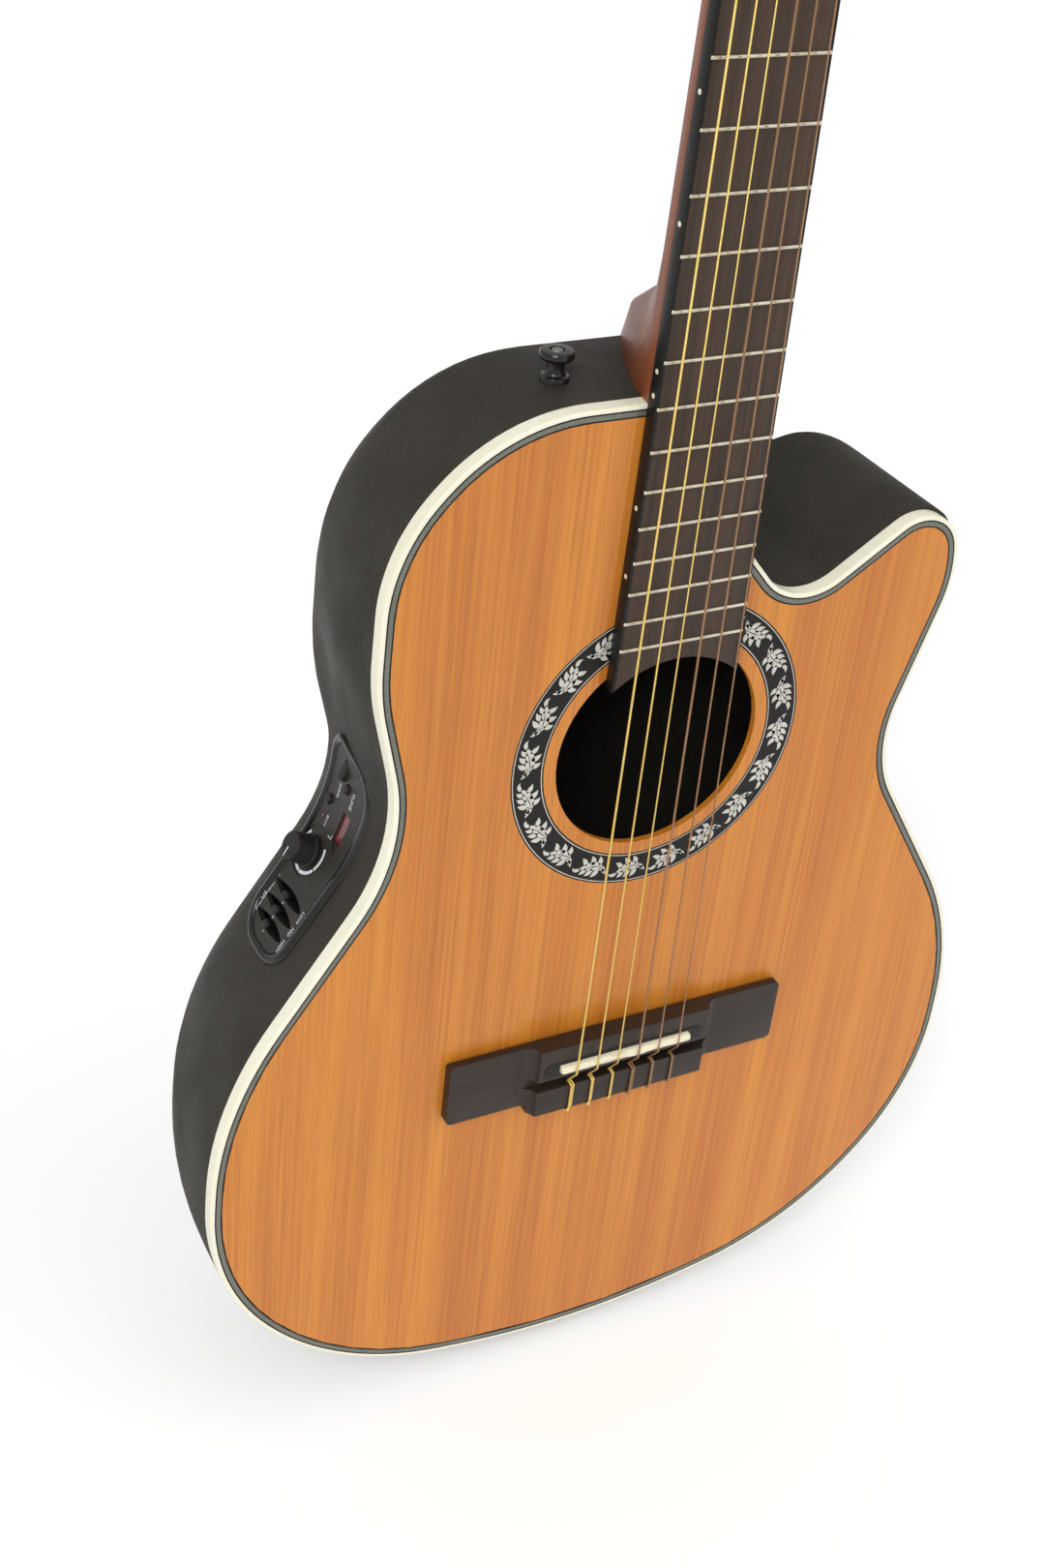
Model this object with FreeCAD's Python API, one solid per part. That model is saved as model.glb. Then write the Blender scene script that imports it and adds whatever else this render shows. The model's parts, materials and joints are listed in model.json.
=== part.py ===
import FreeCAD, Part
import math
import os

from FreeCAD import Vector

# Acoustic-electric classical guitar with a round composite bowl and a cutaway.
# Millimetres. Z runs up the neck, the soundboard faces -Y and the treble side is +X.
# The origin lies on the centre line, at the nut, in the plane of the soundboard's face.

# Driving sizes of the whole instrument
scale_length = 650.0
fret_count = 19
frets_per_octave = 12
body_length = 526.0
lower_bout_half = 203.0
bowl_depth = 150.0
head_tilt = 15.0

# Fingerboard, frets and nut
board_half_at_nut = 23.3
board_half_at_join = 29.0
board_thickness = 6.0
board_binding_width = 1.5
fret_width = 2.2
fret_height = 1.1
fret_end_gap = 0.8
nut_thickness = 5.0
nut_string_floor = 7.6
nut_end_gap = 0.2

# Soundboard and its edge
soundboard_thickness = 3.0
binding_width = 2.0
binding_height = 7.0
purfling_width = 3.5
purfling_depth = 1.5
rosette_gap = 6.0
rosette_width = 15.8
rosette_depth = 1.0
board_end_gap = 2.9
smallest_radius = 0.6

# Rounded outlines and plain round pieces are built with flat facets
outline_facet_turn = 7.0
small_facet_turn = 22.5
bar_sides = 16
hole_sides = 60
tie_hole_sides = 10
string_facet_turn = 30.0
fret_sides = 4
neck_side_count = 6
bowl_arc_steps = 6
cavity_arc_steps = 3

# Bowl
bowl_wall = 3.0
flange_width = 8.0
shoulder_run = 195.0
tail_run = 160.0

# Braces and blocks inside
seat_gap = 0.3
fan_count = 5
fan_height = 5.0
fan_top_spacing = 26.0
fan_bottom_spacing = 46.0
brace_width = 7.0
brace_height = 9.0
brace_gap = 2.0
bridge_plate_thickness = 2.2
neck_block_depth = 58.0
neck_block_height = 44.0

# Neck
neck_depth_at_nut = 15.0
neck_depth_at_heel = 18.3
heel_depth = 70.0
heel_height = 80.0
volute_depth = 17.6
volute_height = 20.0
truss_rod_radius = 3.0
truss_rod_gap = 0.1
truss_rod_end_gap = 8.0

# Headstock, in its own frame before it is tilted
head_length = 190.0
head_half = 33.5
head_thickness = 20.0
veneer_thickness = 2.0
slot_inner = 8.5
slot_width = 15.0
slot_start = 24.0
slot_end = 146.0

# Tuning machines
roller_spacing = 35.0
first_roller = 56.0
roller_radius = 5.0
roller_web_depth = 4.0
roller_shaft_radius = 2.5
running_gap = 0.08
plate_thickness = 1.6
plate_half_width = 8.5
plate_end_length = 20.0
gear_teeth = 14
worm_sides = 8
worm_pitch = 2.4
worm_mid_radius = 2.4
thread_throw = 0.45
mesh_gap = 0.22
gear_width = 3.4
worm_journal_radius = 1.5
lug_thickness = 1.6
lug_inner_gap = 0.3
worm_half_length = 3.6
gear_gap = 1.4
gear_fit = 0.02
lug_half_width = 2.6
lug_cover = 0.6
plate_corner_cut = 2.0
button_length = 15.0
button_width = 17.0
button_thickness = 8.0
button_gap = 1.2
button_corner_radius = 5.5
hub_radius = 3.2
hub_length = 3.0
screw_radius = 1.6
screw_head_radius = 2.8
screw_head_height = 1.0
screw_inset = 6.0

# Strings, bass first
string_radii = (0.55, 0.46, 0.38, 0.51, 0.41, 0.36)
string_spacing_at_nut = 7.74
string_spacing_at_saddle = 11.16
string_seat_gap = 0.06
string_bend_radius = 4.0
string_loop_radius = 1.3
winding_width = 4.6
winding_x = (18.0, 14.5, 14.5)
winding_gap = 0.3
string_sides = 6

# Bridge
saddle_offset = 4.5
bridge_front_length = 12.5
bridge_half = 90.0
bridge_length = 35.0
bridge_wing_height = 5.6
bridge_centre_half = 46.0
bridge_shoulder_width = 9.0
bridge_centre_height = 11.4
tie_block_length = 14.5
tie_overhang = 4.0
bridge_valley_length = 6.2
tie_hole_radius = 1.1
tie_hole_height = 8.2
saddle_half = 35.2
saddle_thickness = 4.4
saddle_top = 14.6
channel_half = 43.0
channel_width = 7.6
channel_depth = 6.0
channel_rim = 0.3
saddle_seat_depth = 3.0
saddle_fit = 0.02

# Preamplifier in the bowl's bass shoulder, in its own frame: up the body, backwards, outwards
preamp_y = 42.5
preamp_lean = 2.0
preamp_half_length = 54.0
preamp_half_width = 22.5
preamp_rise = 2.5
preamp_rim = 4.0
preamp_sink = 8.0
preamp_depth = 26.0
preamp_fit = 0.1
panel_rise = 1.2
panel_thickness = 3.2
surface_low_rise = 3.4
surface_bend = 4.0
surface_top = 60.0
surface_top_rise = 18.9
knob_place = 0.2
knob_shift = 9.5
knob_radius = 8.0
knob_top_radius = 6.4
knob_height = 11.0
knob_sides = 24
knob_gap = 0.9
knob_shaft_radius = 3.0
knob_shaft_length = 9.0
slider_places = (-21.5, -29.5, -37.5)
slider_shift = 5.0
slot_half_length = 15.0
slot_half_width = 2.4
slot_depth = 7.0
slider_half_length = 2.4
slider_half_width = 1.8
slider_rise = 2.2
slider_gap = 0.5
slider_chamfer = 0.8
window_place = 19.5
window_shift = -2.7
window_half_length = 7.0
window_half_width = 3.6
window_sink = 1.0
button_places = ((35.9, 2.9), (24.6, 15.1))
push_button_radius = 2.2
push_button_rise = 1.6
release_place = 42.0
release_shift = 8.0
release_half_length = 4.6
release_half_width = 2.6
push_button_length = 6.0
push_gap = 0.3

# Strap buttons and output jack
strap_x = -54.0
strap_y = 31.0
tail_button_y = 42.0
strap_foot_radius = 6.0
strap_neck_radius = 3.6
strap_head_radius = 7.2
strap_foot_height = 2.5
strap_neck_height = 6.5
strap_head_height = 4.0
seat_overrun = 3.5
jack_x = -62.0
jack_y = 42.0
jack_plate_radius = 12.0
jack_plate_height = 3.5
jack_gap = 0.1
jack_nut_radius = 7.0
jack_nut_height = 2.5
jack_nut_sides = 6
jack_barrel_radius = 5.5
jack_barrel_length = 24.0
jack_bore_radius = 3.25
jack_bore_length = 26.0

# Places in the body, as shares of the lower bout's half width and of the body's length
sound_hole_share = 0.24828
sound_hole_place_share = 0.31217
upper_brace_share = 0.54
lower_brace_share = 0.53
fan_end_share = 0.10
radius_fill_share = 0.98871
neck_block_share = 0.133
preamp_across_share = 0.68128
preamp_place_share = 0.42338
preamp_slope_share = 1.5081

# Places and sizes that follow from the driving sizes
join_z = -scale_length / 2
tail_z = join_z - body_length
hole_z = join_z - sound_hole_place_share * body_length
sound_hole_radius = sound_hole_share * lower_bout_half
rosette_inner = sound_hole_radius + rosette_gap
rosette_outer = rosette_inner + rosette_width
board_end_radius = sound_hole_radius - board_end_gap
head_start = nut_thickness
roller_y = (head_thickness + veneer_thickness) / 2
saddle_z = -scale_length - saddle_offset
bridge_top_z = saddle_z + bridge_front_length
bridge_bottom_z = bridge_top_z - bridge_length
tie_back_z = bridge_bottom_z - tie_overhang
tie_front_z = tie_back_z + tie_block_length
upper_brace_z = (join_z + hole_z) / 2 - brace_width
lower_brace_z = hole_z - sound_hole_radius - brace_width * 2
upper_brace_half = lower_bout_half * upper_brace_share
lower_brace_half = lower_bout_half * lower_brace_share
fan_bottom_z = tail_z + body_length * fan_end_share
neck_block_half = lower_bout_half * neck_block_share
preamp_x = -preamp_across_share * lower_bout_half
preamp_z = join_z - preamp_place_share * body_length
preamp_slope = preamp_slope_share * lower_bout_half / body_length
side_count = len(string_radii) // 2


# Corners of the body's outline as shares: x of the lower bout's half width, z of the body's
# length below the neck joint, and the corner's radius of the outline's own unit of radius.
bass_corner_shares = [
    (-0.443, 0.000, 0.419),
    (-0.675, 0.097, 0.379),
    (-0.680, 0.217, 0.542),
    (-0.586, 0.365, 0.443),
    (-0.995, 0.599, 0.813),
    (-1.005, 0.799, 0.640),
    (-0.670, 0.958, 0.764),
    (0.000, 1.000, 1.946),
]
treble_corner_shares = [
    (0.670, 0.958, 0.764),
    (1.005, 0.799, 0.640),
    (0.995, 0.599, 0.813),
    (0.611, 0.369, 0.315),
    (0.734, 0.200, 0.305),
]
cutaway_corner_shares = [
    (0.690, 0.106, 0.108),
    (0.305, 0.207, 0.138),
    (0.155, 0.139, 0.099),
    (0.150, 0.000, 0.010),
]
# The round shoulder that the bowl would have on the treble side without the cutaway
shoulder_corner_shares = [
    (0.687, 0.093, 0.340),
    (0.443, 0.000, 0.380),
]
# The pocket that the cutaway takes out of the bowl, from beside the neck round past the horn
pocket_corner_shares = [
    (0.155, -0.150, 0.010),
    (0.155, 0.139, 0.099),
    (0.305, 0.207, 0.138),
    (0.680, 0.107, 0.108),
    (0.780, 0.240, 0.010),
    (1.200, 0.240, 0.010),
    (1.200, -0.150, 0.010),
]


# Levels of the bowl as shares of its depth, outside and inside, and the exponents of its curves
bowl_level_shares = (0.0, 0.42, 0.54, 0.66, 0.75, 0.84, 0.9, 0.95, 0.995)
cavity_level_shares = (0.0, 0.42, 0.74, 0.97)
bowl_roundness = 2.84
tail_roundness = 2.6
shoulder_exponent = 1.5
shoulder_flat_share = 0.42


# Headstock: x and corner radius as shares of its half width, z of its length, up the treble side
head_corner_shares = [
    (0.700, 0.000, 0.020),
    (1.000, 0.125, 0.700),
    (1.000, 0.900, 0.160),
    (0.600, 1.000, 0.300),
    (0.000, 0.960, 1.000),
]
# Heel: height above the joint, extra depth and how far the section has turned into a V
heel_section_shares = [
    (0.00, 1.00, 1.00),
    (0.20, 0.90, 1.00),
    (0.35, 0.59, 0.90),
    (0.48, 0.25, 0.56),
    (0.70, 0.05, 0.15),
    (1.00, 0.00, 0.00),
]
shaft_side_share = 0.70
shaft_back_share = 0.58
heel_side_share = 0.25
heel_back_share = 0.14
shoulder_hollow_share = 0.28
# Gear teeth: share of the tooth pitch that its flat tip takes, and as much again at its root
tooth_tip_share = 0.26
# Corners of the preamplifier's outline: up the body as shares of its half length, backwards as
# shares of its half width, and the corner radii as shares of that
preamp_corner_shares = [
    (-0.930, -0.72, 0.60),
    (0.900, -0.84, 0.75),
    (1.050, 1.05, 0.45),
    (-0.930, 1.10, 0.85),
]


def sized_corners(corner_shares, radius_unit):
    """Corners (x, z, radius) in millimetres from their shares of the body."""
    corners = []
    for x_share, z_share, radius_share in corner_shares:
        x = x_share * lower_bout_half
        z = join_z - z_share * body_length
        corners.append((x, z, radius_share * radius_unit))
    return corners


def tangent_lengths(corners):
    """Length of each corner's edges that its arc takes."""
    count = len(corners)
    lengths = []
    for index, corner in enumerate(corners):
        half = corner_half_angle(corners[index - 1], corner, corners[(index + 1) % count])
        lengths.append(corner[2] / math.tan(half))
    return lengths


def radius_room(corner_shares):
    """Unit of the corner radii at which the first two neighbouring arcs would meet."""
    corners = sized_corners(corner_shares, 1)
    tangents = tangent_lengths(corners)
    room = []
    for index, corner in enumerate(corners):
        before = corners[index - 1]
        edge = math.hypot(corner[0] - before[0], corner[1] - before[1])
        room.append(edge / (tangents[index - 1] + tangents[index]))
    return min(room)


def placed_corners(corner_shares):
    """Corners in millimetres, with one unit of radius for all outlines, so that they still agree."""
    edge_shares = bass_corner_shares + treble_corner_shares
    outlines = [edge_shares + cutaway_corner_shares, edge_shares + shoulder_corner_shares]
    unit = radius_fill_share * min(radius_room(outline) for outline in outlines)
    return sized_corners(corner_shares, unit)


def outline_corners(last_corner_shares):
    """Corners of the body's outline, ended by those of the cutaway or of the shoulder."""
    return placed_corners(bass_corner_shares + treble_corner_shares + last_corner_shares)


def turn_of(before, corner, after):
    """Positive where the outline turns towards the body's inside."""
    first_x = corner[0] - before[0]
    first_z = corner[1] - before[1]
    next_x = after[0] - corner[0]
    next_z = after[1] - corner[1]
    return first_x * next_z - first_z * next_x


def corner_half_angle(before, corner, after):
    """Half of the inside angle between the two edges at a corner."""
    to_before = Vector(before[0] - corner[0], 0, before[1] - corner[1])
    to_after = Vector(after[0] - corner[0], 0, after[1] - corner[1])
    return to_before.getAngle(to_after) / 2


def inset_corners(corners, inset):
    """Corners of the parallel outline that lies further in by the inset."""
    count = len(corners)
    moved = []
    for index, corner in enumerate(corners):
        before = corners[index - 1]
        after = corners[(index + 1) % count]
        in_dir = Vector(corner[0] - before[0], 0, corner[1] - before[1]).normalize()
        out_dir = Vector(after[0] - corner[0], 0, after[1] - corner[1]).normalize()
        in_side = Vector(-in_dir.z, 0, in_dir.x)
        out_side = Vector(-out_dir.z, 0, out_dir.x)
        bisector = (in_side + out_side).normalize()
        reach = inset / bisector.dot(in_side)
        convex = turn_of(before, corner, after) > 0
        radius = corner[2] - inset if convex else corner[2] + inset
        radius = max(radius, smallest_radius)
        moved.append((corner[0] + bisector.x * reach, corner[1] + bisector.z * reach, radius))
    return moved


def rounded_wire(corners, y, facet_turn=small_facet_turn):
    """Closed wire through rounded corners, in the plane of y, in steps of at most the facet's turn."""
    count = len(corners)
    points = []
    for index, corner in enumerate(corners):
        before = corners[index - 1]
        after = corners[(index + 1) % count]
        half = corner_half_angle(before, corner, after)
        to_before = Vector(before[0] - corner[0], 0, before[1] - corner[1]).normalize()
        to_after = Vector(after[0] - corner[0], 0, after[1] - corner[1]).normalize()
        point = Vector(corner[0], y, corner[1])
        centre = point + (to_before + to_after).normalize() * (corner[2] / math.sin(half))
        spoke = point + to_before * (corner[2] / math.tan(half)) - centre
        whole = 180 - math.degrees(2 * half)
        steps = math.ceil(whole / facet_turn)
        axis = to_after.cross(to_before)
        for step in range(steps + 1):
            turn = FreeCAD.Rotation(axis, whole * step / steps)
            points.append(centre + turn.multVec(spoke))
    return Part.makePolygon(points + points[:1])


def slab(wire, thickness):
    """Solid between a flat closed wire and the same wire further back."""
    return Part.Face(wire).extrude(Vector(0, thickness, 0))


def body_slab(inset, y, thickness):
    """Plate with the body's outline, drawn in by the inset, from y to y plus the thickness."""
    corners = inset_corners(outline_corners(cutaway_corner_shares), inset)
    return slab(rounded_wire(corners, y, outline_facet_turn), thickness)


def body_ring(outer_inset, inner_inset, y, thickness):
    """Ring between two parallels of the body's outline."""
    return body_slab(outer_inset, y, thickness).cut(body_slab(inner_inset, y, thickness))


def flat_face(points):
    return Part.Face(Part.makePolygon(points + points[:1]))


def skin(rows):
    """Solid through flat closed rows of as many points each, in flat triangles between them."""
    faces = [flat_face(rows[0]), flat_face(rows[-1])]
    for low, high in zip(rows, rows[1:]):
        for index in range(len(low)):
            faces.append(flat_face([low[index - 1], low[index], high[index]]))
            faces.append(flat_face([low[index - 1], high[index], high[index - 1]]))
    shell = Part.Shell(faces)
    shell.sewShape()
    return Part.Solid(shell)


def round_bar(radius, base, direction, length):
    """Cylinder from a base point along a direction, for bearings and what turns in them."""
    return Part.makeCylinder(radius, length, base, direction)


def facet_row(radius, base, direction, sides):
    """Corners of a many-sided outline round a point, across a direction."""
    spoke = direction.cross(Vector(0, 0, 1))
    if spoke.Length < smallest_radius:
        spoke = direction.cross(Vector(1, 0, 0))
    spoke.normalize()
    corners = []
    for number in range(sides):
        turn = FreeCAD.Rotation(direction, 360 * (number + 1 / 2) / sides)
        corners.append(base + turn.multVec(spoke) * radius)
    return corners


def facet_bar(radius, base, direction, length, sides=bar_sides):
    """Many-sided bar from a base point along a direction."""
    return flat_face(facet_row(radius, base, direction, sides)).extrude(direction * length)


def flat_ring(outer, inner, y, thickness):
    """Ring about the sound hole's axis."""
    centre = Vector(0, y, hole_z)
    back = Vector(0, 1, 0)
    whole = facet_bar(outer, centre, back, thickness, hole_sides)
    return whole.cut(facet_bar(inner, centre, back, thickness, hole_sides))


def box_between(x0, x1, y0, y1, z0, z1):
    """Box from its two corners."""
    return Part.makeBox(x1 - x0, y1 - y0, z1 - z0, Vector(x0, y0, z0))


def corner_plan(corners):
    """For each corner, the shares of its two edges that its arc takes and of its arc's handles."""
    count = len(corners)
    plan = []
    for index, corner in enumerate(corners):
        before = corners[index - 1]
        after = corners[(index + 1) % count]
        half = corner_half_angle(before, corner, after)
        turn = math.pi - 2 * half
        tangent = corner[2] / math.tan(half)
        before_share = tangent / math.hypot(before[0] - corner[0], before[1] - corner[1])
        after_share = tangent / math.hypot(after[0] - corner[0], after[1] - corner[1])
        handle_share = 4 / 3 * math.tan(turn / 4) / math.tan(turn / 2)
        plan.append((before_share, after_share, handle_share))
    return plan


def planned_row(points, plan, arc_steps):
    """Points of a closed row round corner points, as the plan divides their edges."""
    count = len(points)
    corners = []
    for index, point in enumerate(points):
        before_share, after_share, handle_share = plan[index]
        start = point + (points[index - 1] - point) * before_share
        end = point + (points[(index + 1) % count] - point) * after_share
        start_handle = start + (point - start) * handle_share
        end_handle = end + (point - end) * handle_share
        curve = Part.BezierCurve()
        curve.setPoles([start, start_handle, end_handle, end])
        corners += [curve.value(step / arc_steps) for step in range(arc_steps + 1)]
    return corners


def power_bend(share, roundness):
    """Share of the full width that is left at a share of the full depth."""
    return (1 - share ** roundness) ** (1 / roundness)


def bowl_level(depth_share, inset, arc_steps):
    """Row of points round the bowl at a share of its depth, drawn in by the inset at the front."""
    front = inset_corners(outline_corners(shoulder_corner_shares), inset)
    past_flat = max(0, depth_share - shoulder_flat_share)
    top_share = (past_flat / (1 - shoulder_flat_share)) ** shoulder_exponent
    width_share = power_bend(depth_share, bowl_roundness)
    depth = binding_height + depth_share * (bowl_depth - inset - binding_height)
    top = join_z - shoulder_run * top_share
    bottom = tail_z + tail_run * (1 - power_bend(depth_share, tail_roundness))
    points = []
    for x, z, _ in front:
        down_share = (join_z - z) / body_length
        points.append(Vector(x * width_share, depth, top + (bottom - top) * down_share))
    return planned_row(points, corner_plan(front), arc_steps)


def cutaway_pocket(wall):
    """Space of the cutaway beside the neck, grown by the wall's thickness."""
    corners = inset_corners(placed_corners(pocket_corner_shares), -wall)
    return slab(rounded_wire(corners, 0, outline_facet_turn), bowl_depth)


def bowl_form(inset, level_shares, arc_steps):
    """Solid form of the bowl, drawn in by the inset on all sides but the front."""
    levels = [bowl_level(share, inset, arc_steps) for share in level_shares]
    return skin(levels).cut(cutaway_pocket(inset))


def make_bowl(form):
    """Shell of the bowl with the flange that the soundboard is glued to."""
    inner = bowl_form(bowl_wall, cavity_level_shares, cavity_arc_steps)
    rim = body_slab(binding_width, soundboard_thickness, binding_height - soundboard_thickness)
    opening = body_slab(binding_width + flange_width, 0, binding_height + bowl_wall)
    return form.cut(inner).fuse(rim).cut(opening)


def make_soundboard():
    board = body_slab(binding_width, 0, soundboard_thickness)
    channel = body_ring(0, binding_width + purfling_width, 0, purfling_depth)
    rosette_groove = flat_ring(rosette_outer, rosette_inner, 0, rosette_depth)
    centre = Vector(0, 0, hole_z)
    hole = facet_bar(sound_hole_radius, centre, Vector(0, 1, 0), soundboard_thickness, hole_sides)
    return board.cut(channel).cut(rosette_groove).cut(hole)


def make_purfling():
    """Strip of black, grey and black veneers, glued up before it is let in."""
    return body_ring(binding_width, binding_width + purfling_width, 0, purfling_depth)


def make_rosette():
    return flat_ring(rosette_outer, rosette_inner, 0, rosette_depth)


def brace(x0, z0, x1, z1, height):
    """Straight bar under the soundboard between two places, with a rounded crown and sloped ends."""
    length = math.hypot(x1 - x0, z1 - z0)
    half = brace_width / 2
    low = height - half
    front = soundboard_thickness
    section = [
        Part.LineSegment(Vector(-half, front, 0), Vector(half, front, 0)).toShape(),
        Part.LineSegment(Vector(half, front, 0), Vector(half, front + low, 0)).toShape(),
        Part.Arc(
            Vector(half, front + low, 0), Vector(0, front + height, 0), Vector(-half, front + low, 0)
        ).toShape(),
        Part.LineSegment(Vector(-half, front + low, 0), Vector(-half, front, 0)).toShape(),
    ]
    bar = Part.Face(Part.Wire(section)).extrude(Vector(0, 0, length))
    angle = math.degrees(math.atan2(x1 - x0, z1 - z0))
    bar.rotate(Vector(0, 0, 0), Vector(0, 1, 0), angle)
    bar.translate(Vector(x0, 0, z0))
    return bar


def make_braces():
    """Two cross bars, five fan bars and the plate under the bridge."""
    pieces = []
    for z, half in ((upper_brace_z, upper_brace_half), (lower_brace_z, lower_brace_half)):
        pieces.append(brace(-half, z, half, z, brace_height))
    plate = box_between(
        -bridge_half,
        bridge_half,
        soundboard_thickness,
        soundboard_thickness + bridge_plate_thickness,
        bridge_bottom_z,
        bridge_top_z,
    )
    pieces.append(plate)
    fan_top = lower_brace_z - brace_width / 2 - brace_gap
    for number in range(fan_count):
        place = number - (fan_count - 1) / 2
        bar = brace(
            place * fan_bottom_spacing, fan_bottom_z, place * fan_top_spacing, fan_top, fan_height
        )
        pieces.append(bar.cut(plate))
    edge = binding_width + flange_width + seat_gap
    room = body_slab(edge, soundboard_thickness, brace_height)
    return Part.Compound([piece.common(room) for piece in pieces])


def make_neck_block():
    """Block inside the bowl that the neck is bolted to."""
    flange_end = join_z - binding_width - flange_width
    top = join_z - bowl_wall
    behind_flange = box_between(
        -neck_block_half, neck_block_half, binding_height, neck_block_depth, flange_end, top - seat_gap
    )
    under_board = box_between(
        -neck_block_half,
        neck_block_half,
        soundboard_thickness,
        neck_block_depth,
        join_z - neck_block_height,
        flange_end,
    )
    height = binding_height - soundboard_thickness
    flange = body_ring(binding_width, binding_width + flange_width, soundboard_thickness, height)
    return behind_flange.fuse(under_board).removeSplitter().cut(flange)


def board_half(z):
    """Half width of the fingerboard at a place along the neck."""
    return board_half_at_nut + (board_half_at_join - board_half_at_nut) * z / join_z


def board_plate(edge_inset):
    """Fingerboard blank, drawn in from its long edges, with its end hollowed round the sound hole."""
    top_half = board_half(0) - edge_inset
    end_half = board_half(hole_z) - edge_inset
    corners = [
        Vector(-top_half, -board_thickness, 0),
        Vector(-end_half, -board_thickness, hole_z),
        Vector(end_half, -board_thickness, hole_z),
        Vector(top_half, -board_thickness, 0),
    ]
    plate = slab(Part.makePolygon(corners + corners[:1]), board_thickness)
    front = Vector(0, -board_thickness, hole_z)
    return plate.cut(facet_bar(board_end_radius, front, Vector(0, 1, 0), board_thickness, hole_sides))


def fret_z(number):
    """Place of a fret by equal temperament."""
    return -scale_length * (1 - 2 ** (-number / frets_per_octave))


def make_fingerboard():
    """The board and the two strips along its edges."""
    core = board_plate(board_binding_width)
    return core, board_plate(0).cut(core)


def make_frets():
    frets = []
    for number in range(1, fret_count + 1):
        z = fret_z(number)
        half = board_half(z) - fret_end_gap
        section = []
        for side in range(fret_sides + 1):
            angle = math.pi * side / fret_sides
            y = -board_thickness - fret_height * math.sin(angle)
            section.append(Vector(-half, y, z + fret_width / 2 * math.cos(angle)))
        frets.append(Part.Face(Part.makePolygon(section + section[:1])).extrude(Vector(2 * half, 0, 0)))
    return Part.Compound(frets)


def neck_section(z, depth, heel_share):
    """Row of points round the neck: flat in front, round behind, and nearer a V towards the heel."""
    half = board_half(z)
    side = depth * (shaft_side_share + (heel_side_share - shaft_side_share) * heel_share)
    back = half * (shaft_back_share + (heel_back_share - shaft_back_share) * heel_share)
    curve = Part.BezierCurve()
    curve.setPoles([Vector(half, 0, z), Vector(half, side, z), Vector(back, depth, z), Vector(0, depth, z)])
    right = [curve.value(step / neck_side_count) for step in range(neck_side_count + 1)]
    left = [Vector(-point.x, point.y, z) for point in right[-2::-1]]
    return right + left


def head_plate(y, thickness):
    """Plate with the headstock's outline, before it is tilted."""
    right = [(x * head_half, z * head_length, r * head_half) for x, z, r in head_corner_shares]
    left = [(-x, z, r) for x, z, r in right[-2::-1]]
    plate = slab(rounded_wire(right + left, y), thickness)
    slot_end_radius = slot_width / 2
    for side in (-1, 1):
        inner = side * slot_inner
        outer = side * (slot_inner + slot_width)
        slot = [
            (max(inner, outer), slot_start, slot_end_radius - smallest_radius),
            (max(inner, outer), slot_end, slot_end_radius - smallest_radius),
            (min(inner, outer), slot_end, slot_end_radius - smallest_radius),
            (min(inner, outer), slot_start, slot_end_radius - smallest_radius),
        ]
        plate = plate.cut(slab(rounded_wire(slot, y), thickness))
    return plate


def tilted(shape):
    """Shape from the headstock's own frame, tilted back and set at the neck's end."""
    placed = shape.copy()
    placed.rotate(Vector(0, 0, 0), Vector(1, 0, 0), -head_tilt)
    placed.translate(Vector(0, 0, head_start))
    return placed


def roller_heights():
    """Heights of the rollers on each side, in the headstock's frame."""
    return [first_roller + number * roller_spacing for number in range(side_count)]


def roller_bores():
    """Holes for the rollers, through each rail and into the middle web."""
    bores = []
    for side in (-1, 1):
        for z in roller_heights():
            base = Vector(side * (slot_inner - roller_web_depth), roller_y, z)
            length = head_half - slot_inner + roller_web_depth
            bores.append(round_bar(roller_radius + running_gap, base, Vector(side, 0, 0), length))
    return bores


def make_neck():
    sections = [
        neck_section(
            join_z + height_share * heel_height,
            neck_depth_at_heel + (heel_depth - neck_depth_at_heel) * depth_share,
            heel_share,
        )
        for height_share, depth_share, heel_share in heel_section_shares
    ]
    volute_start = head_start - volute_height
    middle_depth = (neck_depth_at_heel + neck_depth_at_nut) / 2
    sections.append(neck_section((join_z + heel_height + volute_start) / 2, middle_depth, 0))
    sections.append(neck_section(volute_start, neck_depth_at_nut, 0))
    sections.append(neck_section(head_start, volute_depth, 0))
    shaft = skin(sections)
    head = head_plate(veneer_thickness, head_thickness - veneer_thickness)
    for bore in roller_bores():
        head = head.cut(bore)
    channel = box_between(
        -truss_rod_radius - truss_rod_gap,
        truss_rod_radius + truss_rod_gap,
        0,
        2 * truss_rod_radius + truss_rod_gap,
        join_z,
        -truss_rod_end_gap,
    )
    return shaft.fuse(tilted(head)).cut(tilted(head_plate(0, veneer_thickness))).cut(channel)


def make_truss_rod():
    base = Vector(0, truss_rod_radius, join_z)
    return facet_bar(truss_rod_radius, base, Vector(0, 0, 1), -truss_rod_end_gap - truss_rod_gap - join_z)


def string_x(number, spacing):
    """Place of a string across the neck, from the bass side."""
    return (number - (len(string_radii) - 1) / 2) * spacing


def roller_place(number):
    """Side, height and distance from the middle of the roller that a string winds on."""
    side = -1 if number < side_count else 1
    order = number if side < 0 else len(string_radii) - 1 - number
    return side, roller_heights()[order], winding_x[order]


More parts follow.
